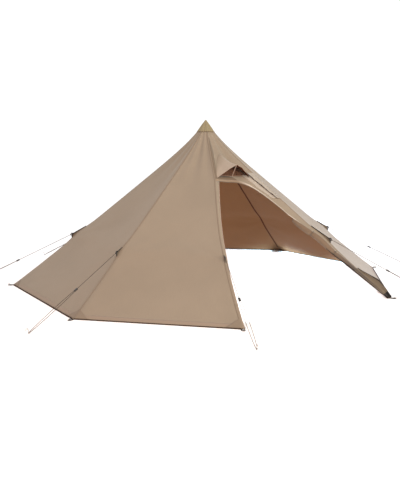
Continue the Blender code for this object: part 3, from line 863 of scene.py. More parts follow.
hood = {
    "lipCurve": (1.35, 1.8),     # powers of its left and right half
    "lipBelow": 0.008, "lipLift": 0.020, "rootCurve": 0.7, "bend": 1.45,
    "creases": 5, "creaseDepth": 0.006,
    "over": 0.0010, "thick": 0.0013, "grid": (56, 22), "cut": (0.62, 0.42),
    "lipTape": 0.030,            # share of its depth
    "lipOver": 0.0018, "lipIn": 0.0002,
    "netSides": 0.02, "netAbove": 0.006, "netBehind": 0.001, "netGrid": (30, 10), "netCut": (0.45, 0.27),
    "bindingHalf": 0.012,
    "propStrap": (0.014, 0.004), "propTop": 0.985, "propUnder": 0.003, "propBow": 0.004, "propIn": 0.004,
    "propOver": 0.002,
}


def ventLip(u):
    lift = 1 - abs(2 * u - 1) ** hood["lipCurve"][u > 0.5]
    s = vent["left"] + (vent["right"] - vent["left"]) * u
    return s, vent["sill"] + hood["lipBelow"] - hood["lipLift"] * lift, vent["reach"] * lift


def hoodPoint(u, v, lift=0.0):
    # u along the lip, v from where the hood leaves the roof (0) to its lip (1)
    s, lipShare, reach = ventLip(u)
    root = ventFoot - (ventFoot - vent["attached"]) * max(sin(pi * u), 0) ** hood["rootCurve"]
    crease = hood["creaseDepth"] * cos(2 * pi * hood["creases"] * (u - 0.5)) * v * (1 - abs(2 * u - 1))
    away = doorOut * (reach + crease) * v ** hood["bend"]
    return clothPoint(doorBay, s, root + (lipShare - root) * v, hood["over"] + lift) + away


def netPlace(u, v):
    sides, above = hood["netSides"], hood["netAbove"]
    s = vent["holeLeft"] - sides + (vent["holeRight"] - vent["holeLeft"] + 2 * sides) * u
    top = ventTop(s) - above
    return clothPoint(doorBay, s, top + (vent["sill"] - above - top) * v, -clothThick - hood["netBehind"])


def holeEdge(u):
    # round the vent's hole: along the sill, then back over the top
    span = vent["holeRight"] - vent["holeLeft"]
    if u < 0.5:
        return vent["holeLeft"] + span * u * 2, ventFoot
    s = vent["holeRight"] - span * (u - 0.5) * 2
    return s, min(ventTop(s), ventFoot)


def holePlace(u, d):
    s, t = holeEdge(u % 1.0)
    before, after = holeEdge((u - 0.01) % 1.0), holeEdge((u + 0.01) % 1.0)
    wide = doorWidth(t)
    ds, dt = (after[0] - before[0]) * wide, (after[1] - before[1]) * ridgeLength
    far = max(hypot(ds, dt), 0.001)
    s, t = s - dt / far * d / wide, t + ds / far * d / ridgeLength
    return clothPoint(doorBay, s, t, layers["binding"])


def makeProp():
    foot = clothPoint(doorBay, ventLip(0.5)[0], vent["sill"] - hood["propIn"], hood["propOver"])
    tip = hoodPoint(0.5, hood["propTop"], -hood["propUnder"])
    path = smoothPath([foot, foot.lerp(tip, 0.5) + doorOut * hood["propBow"], tip], 8)
    side = (clothPoint(doorBay, 0.6, 0.3) - clothPoint(doorBay, 0.4, 0.3)).normalized()
    shape = sweep(path, strapSection(*hood["propStrap"]), side)
    prop = newPiece("vent_prop", [shape], [cloth["ventPropSleeve"]])
    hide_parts("vent_stay")


def makeVent():
    shape = gridShape(*hood["grid"], hoodPoint, cutTo(*hood["cut"], turned=True))
    looks = [cloth["ventHoodCanvasLit"], cloth["ventHoodUndersideShade"]]
    piece = newPiece("vent_hood_cloth", [shape], looks)
    thicken(piece, hood["thick"], inner=1)
    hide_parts("vent_hood")
    tape = hood["lipTape"]
    strip("vent_lip_binding", hood["grid"][0],
          lambda u, d: hoodPoint(u, 1 - d, hood["lipOver"]) - doorOut * hood["lipIn"],
          (tape, tape / 2, 0.0), cloth["hoodLipBinding"], thick=0.0008)

    shape = gridShape(*hood["netGrid"], netPlace, cutTo(*hood["netCut"]))
    piece = newPiece("vent_net", [shape], [netting])
    thicken(piece, 0.0008, -1.0)
    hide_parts("vent_mesh")
    half = hood["bindingHalf"]
    strip("vent_hole_binding", 72, holePlace, (-half, 0.0, half), cloth["ventHoleBindingShade"],
          thick=0.0009)


# Stove jack: metres from the right ridge, shares of it down

jack = {"inner": 0.010, "wide": 0.118, "narrow": 0.064, "top": 0.285, "bottom": 0.43, "thick": 0.0016,
        "coverOver": 0.003, "coverLift": 0.014, "coverSpare": 0.004, "surround": 0.075,
        "archGap": 0.012, "edgeTape": 0.007, "edgeSpan": 0.1, "edgeOver": 0.0008,
        "grid": (6, 30), "cut": (0.1, 0.5),
        "coverGrid": (8, 48), "coverCut": (0.11, 0.5), "coverThick": 0.0012, "coverEven": 0.9,
        "coverWaves": ((0.25, 2.5, 0), (0.15, 6, 1))}     # share of the lift, count and start of each


def jackDown(v, spare=0.0):
    return jack["top"] - spare + (jack["bottom"] - jack["top"] + 2 * spare) * v


def jackWidth(v):
    return jack["wide"] + (jack["narrow"] - jack["wide"]) * v


def jackPlace(u, v):
    t = jackDown(v)
    outer = min(jackWidth(v) + jack["surround"], archRoom(t) - jack["archGap"])
    return acrossRidge(doorBay + 1, t, -outer - (jack["inner"] - outer) * u, layers["jack"])


def jackFlapPlace(u, v):
    # sewn on the ridge's side, its free edge a little proud and wavy
    outer = jackWidth(v)
    wave = sum(share * sin(2 * pi * count * v + start) for share, count, start in jack["coverWaves"])
    lift = jack["coverLift"] * (1 - u) ** 2 * (jack["coverEven"] + wave)
    t = jackDown(v, jack["coverSpare"])
    over = jack["coverOver"] + jack["thick"] + lift
    return acrossRidge(doorBay + 1, t, -outer - (jack["inner"] - outer) * u, over)


def makeJack():
    shape = gridShape(*jack["grid"], jackPlace, cutTo(*jack["cut"], turned=True))
    panel = newPiece("jack_panel", [shape], [cloth["heatProofCloth"]])
    thicken(panel, jack["thick"])
    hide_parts("stove_jack")
    shape = gridShape(*jack["coverGrid"], jackFlapPlace, cutTo(*jack["coverCut"], turned=True))
    # its inner face takes the painted shade of the inside
    looks = [cloth["jackFlapCloth"], cloth["canvasInsideShade"]]
    flap = newPiece("jack_rain_flap", [shape], looks)
    thicken(flap, jack["coverThick"], inner=1)
    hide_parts("stove_jack_cover")
    tape = jack["edgeTape"]
    strip("jack_flap_edge", jack["coverGrid"][1],
          lambda u, d: jackFlapPlace(d / jack["edgeSpan"], u) + doorOut * jack["edgeOver"],
          (0.0, tape / 2, tape), cloth["flapEdgeTape"], thick=0.0012)


makeVent()
makeProp()
makeJack()
print("vent and stove jack ready")


# Doorway

def doorLength(u):
    rim = clothPoint(doorBay, *doorPlace(u, 1))
    return max((rim - clothPoint(doorBay, *doorPlace(u, 0))).length, 0.001)


def rimPoint(u, d, lift=0.0):
    # d metres from the doorway's rim into the cloth
    return clothPoint(doorBay, *doorPlace(u, 1 - d / doorLength(u)), lift)


def rimFrame(u):
    # the rim's point, the way into the doorway and the way along the rim
    point = clothPoint(doorBay, *doorEdge(u))
    before = clothPoint(doorBay, *doorEdge(max(u - 0.01, 0)))
    after = clothPoint(doorBay, *doorEdge(min(u + 0.01, 1)))
    along = (after - before).normalized()
    return point, along.cross(doorOut).normalized(), along


def zipPoint(u, down, behind):
    point, into, along = rimFrame(arch["starts"] + (0.5 - arch["starts"]) * u)
    return point + into * down - doorOut * behind


def makeArch():
    wide, shown = arch["bindingWide"], arch["zipShown"]

    def bindingPlace(u, d):
        share = arch["bindingStarts"] + arch["bindingLong"] * u
        widest = min(1.0, arch["bindingFits"] * doorLength(share) / wide)
        return rimPoint(share, (wide - d) * widest, layers["binding"])
    strip("arch_binding", 150, bindingPlace, (0.0, wide * 0.35, wide * 0.7, wide), cloth["archBinding"],
          thick=0.0011)

    tape = strip("arch_zip_tape", arch["steps"], lambda u, d: zipPoint(u, shown - d, arch["zipBehind"]),
                 (0.0, arch["zipWide"] / 2, arch["zipWide"]), cloth["zipTape"],
                 thick=0.0008, offset=-1.0)
    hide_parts("door_zip_arch")
    coil = [zipPoint(i / arch["steps"], shown + 0.001, arch["coilBehind"]) for i in range(arch["steps"] + 1)]
    shape = sweep(coil, strapSection(arch["coilWide"], arch["coilThick"]), coil[-1] - coil[0])
    newPiece("arch_zip_coil", [shape], [hard["zipTeeth"]])


# painted shade of the hood: a darker strip between the arch and the vent; shares of the rim, metres up and
# under the vent
hoodShade = {"from": 0.012, "long": 0.205, "high": 0.080, "tucked": 0.022, "blunt": 0.12}


def hoodShadePlace(u, d):
    share = hoodShade["from"] + hoodShade["long"] * u
    room = (doorEdge(share)[1] - vent["sill"]) * ridgeLength - arch["bindingWide"] + hoodShade["tucked"]
    high = hoodShade["high"] * sin(pi * (hoodShade["blunt"] + (1 - hoodShade["blunt"]) * u)) ** 0.5
    return rimPoint(share, arch["bindingWide"] + min(room, high) * d, layers["hoodShade"])


# the strip beside the left post: metres, and shares of the ridge, starts from the doorway's top
post = {"bindingStarts": 0.004, "bindingEnds": 0.998, "bindingWide": 0.012,
        "zipStarts": 0.03, "zipEnds": 0.995, "zipIn": 0.014, "zipWidths": (0.0, 0.012, 0.022),
        "zipBehind": 0.0030}


def postBindingPlace(u, d):
    start = doorTop + post["bindingStarts"]
    t = start + (post["bindingEnds"] - start) * u
    return acrossRidge(doorBay, t, postWide(t) - post["bindingWide"] + d, layers["binding"])


def postZipPlace(u, d):
    start = doorTop + post["zipStarts"]
    return acrossRidge(doorBay, start + (post["zipEnds"] - start) * u, post["zipIn"] + d, -post["zipBehind"])


def makePostEdge():
    # bound free edge, with the other half of the zip behind it
    wide = post["bindingWide"]
    strip("post_edge_binding", 80, postBindingPlace, (0.0, wide / 2, wide), cloth["postBinding"],
          thick=0.0009)
    tape = strip("post_zip_tape", 60, postZipPlace, post["zipWidths"], cloth["zipTape"],
                 thick=0.0008, offset=-1.0)
    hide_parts("door_zip_post")


# Rolled door

roll = {
    "steps": 96, "sides": 30, "away": 0.0038, "from": 0.04, "to": 0.99,
    "foot": 0.009, "belly": 0.026, "bellyPower": 0.42,
    "swell": 0.003, "swellAt": 0.28, "hang": 0.006, "hangAt": 0.32, "swellSpread": 0.16,
    "ties": {"upper": 0.197, "middle": 0.431, "lower": 0.665},
    "drawnIn": 0.20, "tieSpread": 0.018, "lap": 0.10,
    "bumps": 0.07, "bumpsRound": 1.4, "bumpsAlong": 13, "ribs": 0.04, "ribCount": 3, "ribTwist": 9,
    "clear": 1.01, "behind": 0.002, "floorGap": 0.0003,
    "hemFrom": 0.36, "hemTo": 0.995, "hemSteps": 70, "hemFace": -18,
    "hemWidths": (0.010, 0.024), "hemWidensIn": 25, "hemThick": 0.0022,
    "hemClear": 1.03, "hemLift": 0.0012, "hemLiftFrom": 0.34, "hemLiftIn": 0.25, "hemFloorGap": 0.003,
}


def bell(share, middle, spreads):
    return exp(-((share - middle) / spreads) ** 2)


def rollFrame(share):
    return rimFrame(0.5 + 0.5 * (roll["from"] + (roll["to"] - roll["from"]) * share))


def rollRadius(share):
    swell = roll["swell"] * bell(share, roll["swellAt"], roll["swellSpread"])
    return roll["foot"] + roll["belly"] * sin(pi * share ** roll["bellyPower"]) + swell


def rollCentre(share):
    point, into, along = rollFrame(share)
    radius = rollRadius(share)
    hang = roll["hang"] * bell(share, roll["hangAt"], roll["swellSpread"])
    centre = point + into * (radius * roll["clear"] + roll["away"] + hang) - doorOut * roll["behind"]
    centre.z = max(centre.z, radius + roll["floorGap"])
    return centre


def rollSection(share):
    # the wound cloth in section: a slack spiral, drawn in at the ties
    squeeze = 1.0
    for place in roll["ties"].values():
        squeeze -= roll["drawnIn"] * bell(share, place, roll["tieSpread"])
    outline = []
    for j in range(roll["sides"]):
        turn = 2 * pi * j / roll["sides"]
        lap = roll["lap"] * (0.5 - j / roll["sides"])
        around = Vector((cos(turn), sin(turn), 0)) * roll["bumpsRound"]
        bumps = roll["bumps"] * noise.noise(around + up * roll["bumpsAlong"] * share)
        bumps += roll["ribs"] * sin(roll["ribCount"] * turn + roll["ribTwist"] * share)
        size = rollRadius(share) * squeeze * (1 + lap + bumps)
        outline.append((size * cos(turn), size * sin(turn)))
    return outline


def rollFace(share, degrees):
    # the direction out of the roll, degrees round from the doorway towards the outside
    point, into, along = rollFrame(share)
    return into * cos(radians(degrees)) + doorOut * sin(radians(degrees)), along


def makeRoll():
    steps = roll["steps"]
    path = [rollCentre(i / steps) for i in range(steps + 1)]
    shape = sweep(path, lambda i: rollSection(i / steps), doorOut)
    piece = newPiece("rolled_door", [shape], [cloth["rolledCanvasShade"]])
    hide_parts("door_roll")


def makeRollHem():
    # dark webbing of the door's own hem, wound to the outside along the lower part of the roll
    edge, sides, outlines = [], [], []
    narrow, wide = roll["hemWidths"]
    for i in range(roll["hemSteps"] + 1):
        share = roll["hemFrom"] + (roll["hemTo"] - roll["hemFrom"]) * i / roll["hemSteps"]
        away, along = rollFace(share, roll["hemFace"])
        lift = roll["hemLift"] * min(1.0, (share - roll["hemLiftFrom"]) / roll["hemLiftIn"])
        place = rollCentre(share) + away * (rollRadius(share) * roll["hemClear"] + lift)
        place.z = max(place.z, roll["hemFloorGap"])
        edge.append(place)
        sides.append(along.cross(away).normalized())
        width = narrow + (wide - narrow) * min(1.0, i / roll["hemWidensIn"])
        outlines.append(strapSection(width, roll["hemThick"])(i))
    shape = sweep(edge, lambda i: outlines[i], lambda i: sides[i])
    newPiece("rolled_door_hem", [shape], [cloth["doorHemWebbing"]])


# webbing round the roll, sewn to the doorway's rim; the toggle's places along it and radii are in metres
tie = {
    "band": (0.012, 0.0018), "tight": 0.86, "over": 0.0015, "turns": 36,
    # the tab: metres into the doorway and out from the rim, then shares of the band's radius
    "tab": (0.012, 0.0016), "tabStart": ((-0.010, 0.003), (0.001, 0.003)), "tabEnd": (-0.8, 0.55),
    "toggle": ((-0.016, 0.002), (-0.013, 0.0038), (0.0, 0.003), (0.013, 0.0038), (0.016, 0.002)),
    "toggleAway": 0.004,
}


def makeTie(name, share):
    centre = rollCentre(share)
    along = (rollCentre(share + 0.02) - rollCentre(share - 0.02)).normalized()
    across = (doorOut - along * doorOut.dot(along)).normalized()
    over = along.cross(across)
    size = rollRadius(share) * tie["tight"] + tie["over"]
    turns = [2 * pi * j / tie["turns"] for j in range(tie["turns"])]
    ring = [centre + (across * cos(turn) + over * sin(turn)) * size for turn in turns]
    band = sweep(ring, strapSection(*tie["band"]), along, closed=True)
    middle = centre + across * (size + tie["toggleAway"])
    bar = sweep([middle + over * place for place, radius in tie["toggle"]],
                roundSection([radius for place, radius in tie["toggle"]]), along, mark=1)
    rim, into, away = rollFrame(share)
    knots = [rim + into * a + doorOut * b for a, b in tie["tabStart"]]
    knots.append(centre + into * size * tie["tabEnd"][0] + doorOut * size * tie["tabEnd"][1])
    tab = sweep(knots, strapSection(*tie["tab"]), away)
    looks = [cloth["doorStrapWebbing"], hard["zipTeeth"]]
    piece = newPiece("door_strap_" + name, [band, tab, bar], looks)
    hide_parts("door_tie_" + name)


# the door's lower corner, turned back over the right ridge: shares of the ridge, metres, degrees
footFold = {"top": 0.835, "bottom": 0.996, "high": 0.064, "least": 0.004, "fullBy": 0.66,
            "growPower": 1.6, "narrowsFrom": 0.55, "narrowsBy": 0.9, "narrowPower": 1.15,
            "thick": 0.0016, "slack": 0.004, "waveDeep": 0.006, "wave": 9, "knots": (0.3, 0.75, 1.0),
            "floorGap": 0.002, "bandAbove": 0.93, "bandPlace": 0.42, "bandOver": 0.003,
            "lean": 20.0, "underFace": -62, "outerFace": 20, "overRoll": 0.0035, "overRidge": 0.006,
            "columns": 16, "rows": 44, "webbedRows": 7, "cut": (0.14, 0.66),
            "rimStrap": (0.013, 0.0040), "endStrap": (0.042, 0.0034)}
footInto = rimFrame(0.9)[1]
footRise = doorOut * cos(radians(footFold["lean"])) - footInto * sin(radians(footFold["lean"]))


def footFoldPlace(u, v):
    # across the fold (u) from the roll's doorway side to its free edge, down the ridge (v)
    t = footFold["top"] + (footFold["bottom"] - footFold["top"]) * v
    share = ((t - archFoot) / (1 - archFoot) - roll["from"]) / (roll["to"] - roll["from"])
    share = min(max(share, 0), 1)
    centre = rollCentre(share)
    radius = rollRadius(share) + footFold["overRoll"]
    under, outer = (rollFace(share, footFold[face])[0] for face in ("underFace", "outerFace"))
    ridge = ridgePoint(doorBay + 1, t) + ridgeNormal(doorBay + 1) * footFold["overRidge"]
    grown = sin(pi / 2 * min(v / footFold["fullBy"], 1.0)) ** footFold["growPower"]
    narrow = max((v - footFold["narrowsFrom"]) / (1 - footFold["narrowsFrom"]), 0)
    narrow = footFold["narrowsBy"] * narrow ** footFold["narrowPower"]
    high = (footFold["high"] * grown + footFold["least"]) * (1 - narrow)
    low, middle, edge = (ridge + footRise * knot * high for knot in footFold["knots"])
    middle += footInto * footFold["waveDeep"] * sin(footFold["wave"] * v)
    knots = (centre + under * radius, centre + outer * (radius + footFold["slack"] * v), low, middle, edge)
    place = u * (len(knots) - 1)
    i = min(int(place), len(knots) - 2)
    point = knots[i].lerp(knots[i + 1], place - i)
    point.z = max(point.z, footFold["floorGap"])
    return point


def makeFootFold():
    columns, rows = footFold["columns"], footFold["rows"]
    shape = gridShape(columns, rows, footFoldPlace, cutTo(*footFold["cut"]))
    fold = newPiece("door_corner_fold", [shape], [cloth["foldedCanvasShade"]])
    addCloth(fold, cloth["blackWebbing"], lambda face: face // columns >= rows - footFold["webbedRows"])
    thicken(fold, footFold["thick"])
    out = ridgeNormal(doorBay + 1)
    rim = [footFoldPlace(1.0, v / rows) for v in range(rows + 1)]
    band = []
    for i in range(columns + 1):
        u = 1 - i / columns
        above = footFoldPlace(u, footFold["bandAbove"])
        band.append(footFoldPlace(u, 1.0).lerp(above, footFold["bandPlace"]) + out * footFold["bandOver"])
    shapes = [sweep(rim, strapSection(*footFold["rimStrap"]), out),
              sweep(band, strapSection(*footFold["endStrap"]), out)]
    newPiece("door_corner_hem", shapes, [cloth["doorHemWebbing"]])


makeArch()
strip("arch_hood_shade", 50, hoodShadePlace, (1.0, 0.5, 0.0), cloth["hoodShadeCanvas"], thick=0.0006)
makePostEdge()
makeRoll()
makeRollHem()
for tieName, tieShare in roll["ties"].items():
    makeTie(tieName, tieShare)
makeFootFold()
print("doorway ready")


# Guy points, lines and pegs

guy = {
    "finLengths": (1.3, 0.6, 0.35, 1.9, 1.2, 1.15, 1.15, 1.15),     # in twentieths of the roof
    "finHigh": 0.033, "finBelow": 0.010, "finOver": 0.0006, "finStart": 0.004, "finPower": 0.9,
    "finWave": 0.004, "finGrid": (12, 8), "finCut": (0.16, 0.05),
    "edgeStrap": (0.011, 0.0040), "backStrap": (0.013, 0.0042), "tabStrap": (0.016, 0.0018),
    # the tab's fold round the ring: metres out along the line and to its side
    "tab": ((-0.022, 0.003), (-0.004, 0.004), (0.006, 0.0), (-0.004, -0.004), (-0.022, -0.003)),
    "ringAway": 0.009, "ringRadius": 0.014, "ringThick": 0.0058,
    "pegAway": 1.23,         # in corner radii
    "cord": 0.0056, "sliderAt": 0.51, "strandGap": 0.005, "spread": 0.013,
    "bendUp": 0.011, "bendHalf": 0.005, "bendDeep": 0.006,     # the cord's bend round the peg
    "knotAt": 0.016, "knotTurns": 7, "knotStep": 0.003, "knotTurn": 2.1, "knotRadius": 0.0022,
    "knotCord": 0.9,         # of the cord's thickness
    # the slider, a stubby bar: metres along the cord and share of its full size
    "slider": ((-0.024, 0.35), (-0.0225, 0.75), (-0.018, 1.0), (-0.006, 0.86), (0.006, 0.86), (0.018, 1.0),
               (0.0225, 0.75), (0.024, 0.35)),
    "sliderWide": 0.0150, "sliderHigh": 0.0110,
}
# hooks, as metres out and up
peg = {
    "thick": 0.008, "tip": 0.7, "cornerThick": 0.0072, "cornerAway": 0.034,
    "hook": ((0.0, -0.002), (0.0, 0.012), (0.004, 0.030), (0.010, 0.048), (0.020, 0.056), (0.032, 0.052),
             (0.038, 0.040)),
    "cornerHook": ((0.0, -0.001), (0.0, 0.008), (0.003, 0.016), (0.010, 0.021), (0.019, 0.018),
                   (0.022, 0.009)),
}
# the corner's webbing; half and end are metres out of the corner, to its side and up
cornerLoop = {
    "half": ((-0.010, 0.015, 0.0012), (0.020, 0.0165, 0.0020), (0.042, 0.012, 0.0025)),
    "strap": (0.0018, 0.011), "from": 0.98, "under": 0.012, "aside": 0.012, "end": (0.050, 0.0, 0.0025),
    # its stitched triangle: shares of the ridge where it ends, and metres
    "apexFront": 0.968, "apexRear": 0.986, "apexBehind": 0.006,
    "boxWide": 0.075, "boxHigh": 0.11, "boxIn": 0.006, "boxUp": 0.004, "boxSlant": 0.030,
}


def finTip(k):
    rise = (cornerOut(k) * tent["apexHeight"] + up * tent["cornerRadius"]) / ridgeLength
    return ridgePoint(k, guyPlace(k)) + rise * guy["finHigh"]


def pegFoot(k):
    return cornerOut(k) * tent["cornerRadius"] * guy["pegAway"]


def makeFin(k):
    start = guyPlace(k) - (1 - capEnds) * guy["finLengths"][k] / 20
    tip, side = finTip(k), cornerSide(k)

    def place(u, v):
        t = start + (guyPlace(k) + guy["finBelow"] - start) * u
        root = ridgePoint(k, t) + ridgeNormal(k) * guy["finOver"]
        edge = (ridgePoint(k, start) + up * guy["finStart"]).lerp(tip, u ** guy["finPower"])
        return root.lerp(edge, v) + side * guy["finWave"] * sin(pi * v) * sin(2 * pi * u)
    columns, rows = guy["finGrid"]
    edge = [place(i / columns, 1.0) for i in range(columns + 1)]
    back = [place(1.0, 1 - i / rows) for i in range(rows + 1)]
    # webbing tab folded through a ring at the tip
    pull = (pegFoot(k) - tip).normalized()
    tab = [tip + pull * a + side * b for a, b in guy["tab"]]
    middle = tip + pull * guy["ringAway"]
    turns = [2 * pi * j / 20 for j in range(20)]
    ring = [middle + (pull * cos(turn) + up * sin(turn)) * guy["ringRadius"] for turn in turns]
    shapes = [gridShape(columns, rows, place, cutTo(*guy["finCut"])),
              sweep(edge, strapSection(*guy["edgeStrap"]), ridgeNormal(k), mark=1),
              sweep(back, strapSection(*guy["backStrap"]), -cornerOut(k), mark=1),
              sweep(smoothPath(tab, 4), strapSection(*guy["tabStrap"]), pull.cross(side), mark=1),
              sweep(ring, roundSection(guy["ringThick"]), side, closed=True, mark=2)]
    materials = [cloth["finCanvasShade"], cloth["blackWebbing"], hard["blackPlastic"]]
    piece = newPiece("fin_%d" % (k + 1), shapes, materials)
    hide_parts("guy_fin_%d" % (k + 1))


def makeGuyLine(k):
    # one cord from the fin to the slider, then a loop of two strands round the peg
    out = cornerOut(k)
    start = finTip(k)
    half = guy["bendHalf"]
    end = pegFoot(k) + up * guy["bendUp"] - out * half
    along = (end - start).normalized()
    across = along.cross(up).normalized()
    slider = start.lerp(end, guy["sliderAt"])
    cord = roundSection(guy["cord"] / 2)
    upper = [start + along * 0.012 * j for j in range(3)]
    upper += [start.lerp(slider, j / 8) for j in range(2, 9)]
    shapes = [sweep(upper, cord)]
    for way in (-1, 1):
        strand = []
        for j in range(13):
            gap = guy["strandGap"] + guy["spread"] * sin(pi * j / 12) ** 0.6
            strand.append(slider.lerp(end, j / 12) + across * way * gap)
        shapes.append(sweep(strand, cord))
    turns = [pi * j / 10 for j in range(11)]
    bend = [end + across * half * cos(turn) + out * (half + guy["bendDeep"] * sin(turn)) for turn in turns]
    knot = []
    for j in range(guy["knotTurns"]):
        turn = guy["knotTurn"] * j
        middle = start + along * (guy["knotAt"] + guy["knotStep"] * j)
        knot.append(middle + (across * sin(turn) + up * cos(turn)) * guy["knotRadius"])
    shapes += [sweep(bend, cord), sweep(knot, roundSection(guy["cord"] / 2 * guy["knotCord"]))]
    piece = newPiece("guy_cord_%d" % (k + 1), shapes, [cloth["guyCordBraid"]])
    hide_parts("guy_line_%d" % (k + 1))

    body = sweep([slider + along * place for place, size in guy["slider"]],
                 roundSection([guy["sliderWide"] * size for place, size in guy["slider"]], 16,
                              guy["sliderHigh"] / guy["sliderWide"]), across)
    newPiece("guy_slider_%d" % (k + 1), [body], [hard["blackPlastic"]])


def hookPath(k, foot, hook, steps):
    return smoothPath([foot + cornerOut(k) * a + up * b for a, b in hook], steps)


def makePegs(k):
    path = hookPath(k, pegFoot(k), peg["hook"], 5)
    radii = [peg["thick"] / 2] * (len(path) - 1) + [peg["thick"] / 2 * peg["tip"]]
    shape = sweep(path, roundSection(radii, 12), cornerSide(k))
    piece = newPiece("peg_%d" % (k + 1), [shape], [hard["pegSteel"]])
    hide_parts("guy_peg_%d" % (k + 1))
    # the corner's own peg, pushed down until its hook holds the loop
    path = hookPath(k, cornerBase(k) + cornerOut(k) * peg["cornerAway"], peg["cornerHook"], 4)
    shape = sweep(path, roundSection(peg["cornerThick"] / 2, 12), cornerSide(k))
    newPiece("corner_peg_%d" % (k + 1), [shape], [hard["pegSteel"]])


def makeCornerLoop(k):
    # webbing folded out from under the corner and back, with its ends boxed on the cloth
    out, side, base = cornerOut(k), cornerSide(k), cornerBase(k)
    half = [ridgePoint(k, cornerLoop["from"]) - up * cornerLoop["under"] + side * cornerLoop["aside"]]
    loop = [base + out * a + side * b + up * c for a, b, c in (*cornerLoop["half"], cornerLoop["end"])]
    half += loop[:-1]
    other = [point - side * 2 * side.dot(point - base) for point in half[::-1]]
    path = smoothPath(half + loop[-1:] + other, 6)
    # a stitched triangle of the same webbing inside the corner
    ends = cornerLoop["apexFront" if k <= doorBay + 1 else "apexRear"]
    apex = ridgePoint(k, ends) - ridgeNormal(k) * cornerLoop["apexBehind"]

    def boxPlace(u, v):
        slant = cornerLoop["boxIn"] + cornerLoop["boxSlant"] * abs(2 * u - 1)
        foot = base - out * slant + side * cornerLoop["boxWide"] * (u - 0.5) + up * cornerLoop["boxUp"]
        return apex.lerp(foot, v)
    box = gridShape(8, 5, boxPlace, lambda u, v: (cornerLoop["boxWide"] * u * v, cornerLoop["boxHigh"] * v))
    shapes = [sweep(path, strapSection(*cornerLoop["strap"]), up), box]
    piece = newPiece("corner_webbing_%d" % (k + 1), shapes, [cloth["blackWebbing"]])
    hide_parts("corner_loop_%d" % (k + 1))


for corner in range(bayCount):
    makeFin(corner)
    makeGuyLine(corner)
    makePegs(corner)
    makeCornerLoop(corner)
poleLooks = {"pole_lower": "poleAluminium", "pole_upper": "poleAluminium", "pole_foot": "blackPlastic",
             "pole_tip": "blackPlastic"}
for node, look in poleLooks.items():
    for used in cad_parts[node].material_slots:
        used.material = hard[look]
print("pegs, lines and pole ready")


# Camera, floor and light: azimuth 0 stands in front of the doorway, positive to the right

view = {"away": 8.145, "height": 1.697, "azimuth": -36.41, "turn": 0.56, "down": 8.70, "lens": 42.32}
lights = {
    "sky": 1.10,
    "aimHeight": 0.6,
    "around": {
        "front": {"azimuth": 5.0, "elevation": 9.0, "away": 10.0, "size": 2.8, "power": 432.0,
                  "colour": (1.0, 0.825, 0.635)},
        "above": {"azimuth": -10.0, "elevation": 50.0, "away": 10.0, "size": 4.0, "power": 201.0,
                  "colour": (1.0, 0.776, 0.615)},
        "left": {"azimuth": -70.0, "elevation": 30.0, "away": 10.0, "size": 4.0, "power": 134.0,
                 "colour": (1.0, 0.23, 0.02)},
        "right": {"azimuth": 92.0, "elevation": 9.0, "away": 10.0, "size": 2.8, "power": 508.0,
                  "colour": (0.752, 0.807, 1.0)},
    },
    # in the tent, facing down: a wide soft disc and a small one by the roll's foot,
    # and a low strip along the foot of each wall in powers
    "ground": {"size": 4.80, "height": 0.03, "power": 59.0, "colour": (0.96, 0.97, 1.0)},
    "corner": {"away": 2.33, "height": 0.05, "size": 0.42, "power": 0.5, "colour": (0.95, 0.97, 1.0)},
    "foot": {"inset": 0.155, "height": 0.03, "size": 1.7, "wide": 0.22, "colour": (0.58, 0.83, 1.0)},
    "powers": {4: 9.5, 5: 4.6, 6: 4.0, 7: 4.0},
}
floor = {"half": 60.0, "down": 0.001, "rough": 0.9, "mottle": 2.0, "tones": (0.945, 0.955)}


def addObject(name, data, place):
    made = bpy.data.objects.new(name, data)
    bpy.context.scene.collection.objects.link(made)
    made.location = place
    return made


def makeCamera():
    data = bpy.data.cameras.new("photoCamera")
    data.lens = view["lens"]
    data.sensor_width = 36.0
    data.clip_end = 200
    around = radians(view["azimuth"])
    place = (sin(around) * view["away"], -cos(around) * view["away"], view["height"])
    made = addObject("photoCamera", data, place)
    made.rotation_euler = (pi / 2 - radians(view["down"]), 0, around + radians(view["turn"]))
    bpy.context.scene.camera = made


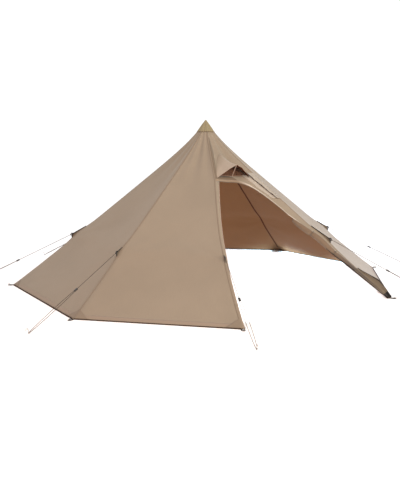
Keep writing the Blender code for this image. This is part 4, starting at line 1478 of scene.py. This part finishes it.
def areaLight(name, place, item, shape="DISK"):
    data = bpy.data.lights.new(name, "AREA")
    data.shape = shape
    data.size = item["size"]
    data.energy = item["power"]
    data.color = item["colour"]
    made = addObject(name, data, place)
    made.visible_camera = False
    return made


def makeLights():
    for name, item in lights["around"].items():
        a, e = radians(item["azimuth"]), radians(item["elevation"])
        place = Vector((sin(a) * cos(e), -cos(a) * cos(e), sin(e))) * item["away"]
        made = areaLight(name + "Light", place, item)
        made.rotation_euler = (up * lights["aimHeight"] - place).to_track_quat("-Z", "Y").to_euler()
    ground, corner, foot = lights["ground"], lights["corner"], lights["foot"]
    areaLight("groundLight", up * ground["height"], ground)
    areaLight("cornerLight", cornerOut(doorBay + 1) * corner["away"] + up * corner["height"], corner)
    for bay, power in lights["powers"].items():
        away = bayAway(bay)
        place = away * (tent["cornerRadius"] * cos(pi / bayCount) - foot["inset"]) + up * foot["height"]
        made = areaLight("footLight_%d" % (bay + 1), place, {**foot, "power": power}, "RECTANGLE")
        made.data.size_y = foot["wide"]
        made.rotation_euler = (0, 0, atan2(away.y, away.x) - pi / 2)


def makeStudio():
    world = bpy.data.worlds.new("studioSky")
    world.use_nodes = True
    sky = world.node_tree.nodes["Background"]
    sky.inputs["Color"].default_value = (1.0, 1.0, 1.0, 1.0)
    sky.inputs["Strength"].default_value = lights["sky"]
    bpy.context.scene.world = world
    bpy.context.scene.view_settings.view_transform = "Standard"
    mesh = bpy.data.meshes.new("studioFloor")
    half, down = floor["half"], floor["down"]
    corners = [(x * half, y * half, -down) for x, y in ((-1, -1), (1, -1), (1, 1), (-1, 1))]
    mesh.from_pydata(corners, [], [(0, 1, 2, 3)])
    made, tree, shader = newMaterial("paleFloor", floor["rough"])
    tone = spread(tree, noiseNode(tree, whereNode(tree, "Object"), floor["mottle"]), *floor["tones"])
    plug(tree, shader.inputs["Base Color"], shaded(tree, (1.0, 1.0, 1.0), tone))
    mesh.materials.append(made)
    addObject("studioFloor", mesh, (0, 0, 0))


makeCamera()
makeLights()
makeStudio()
print("studio ready")
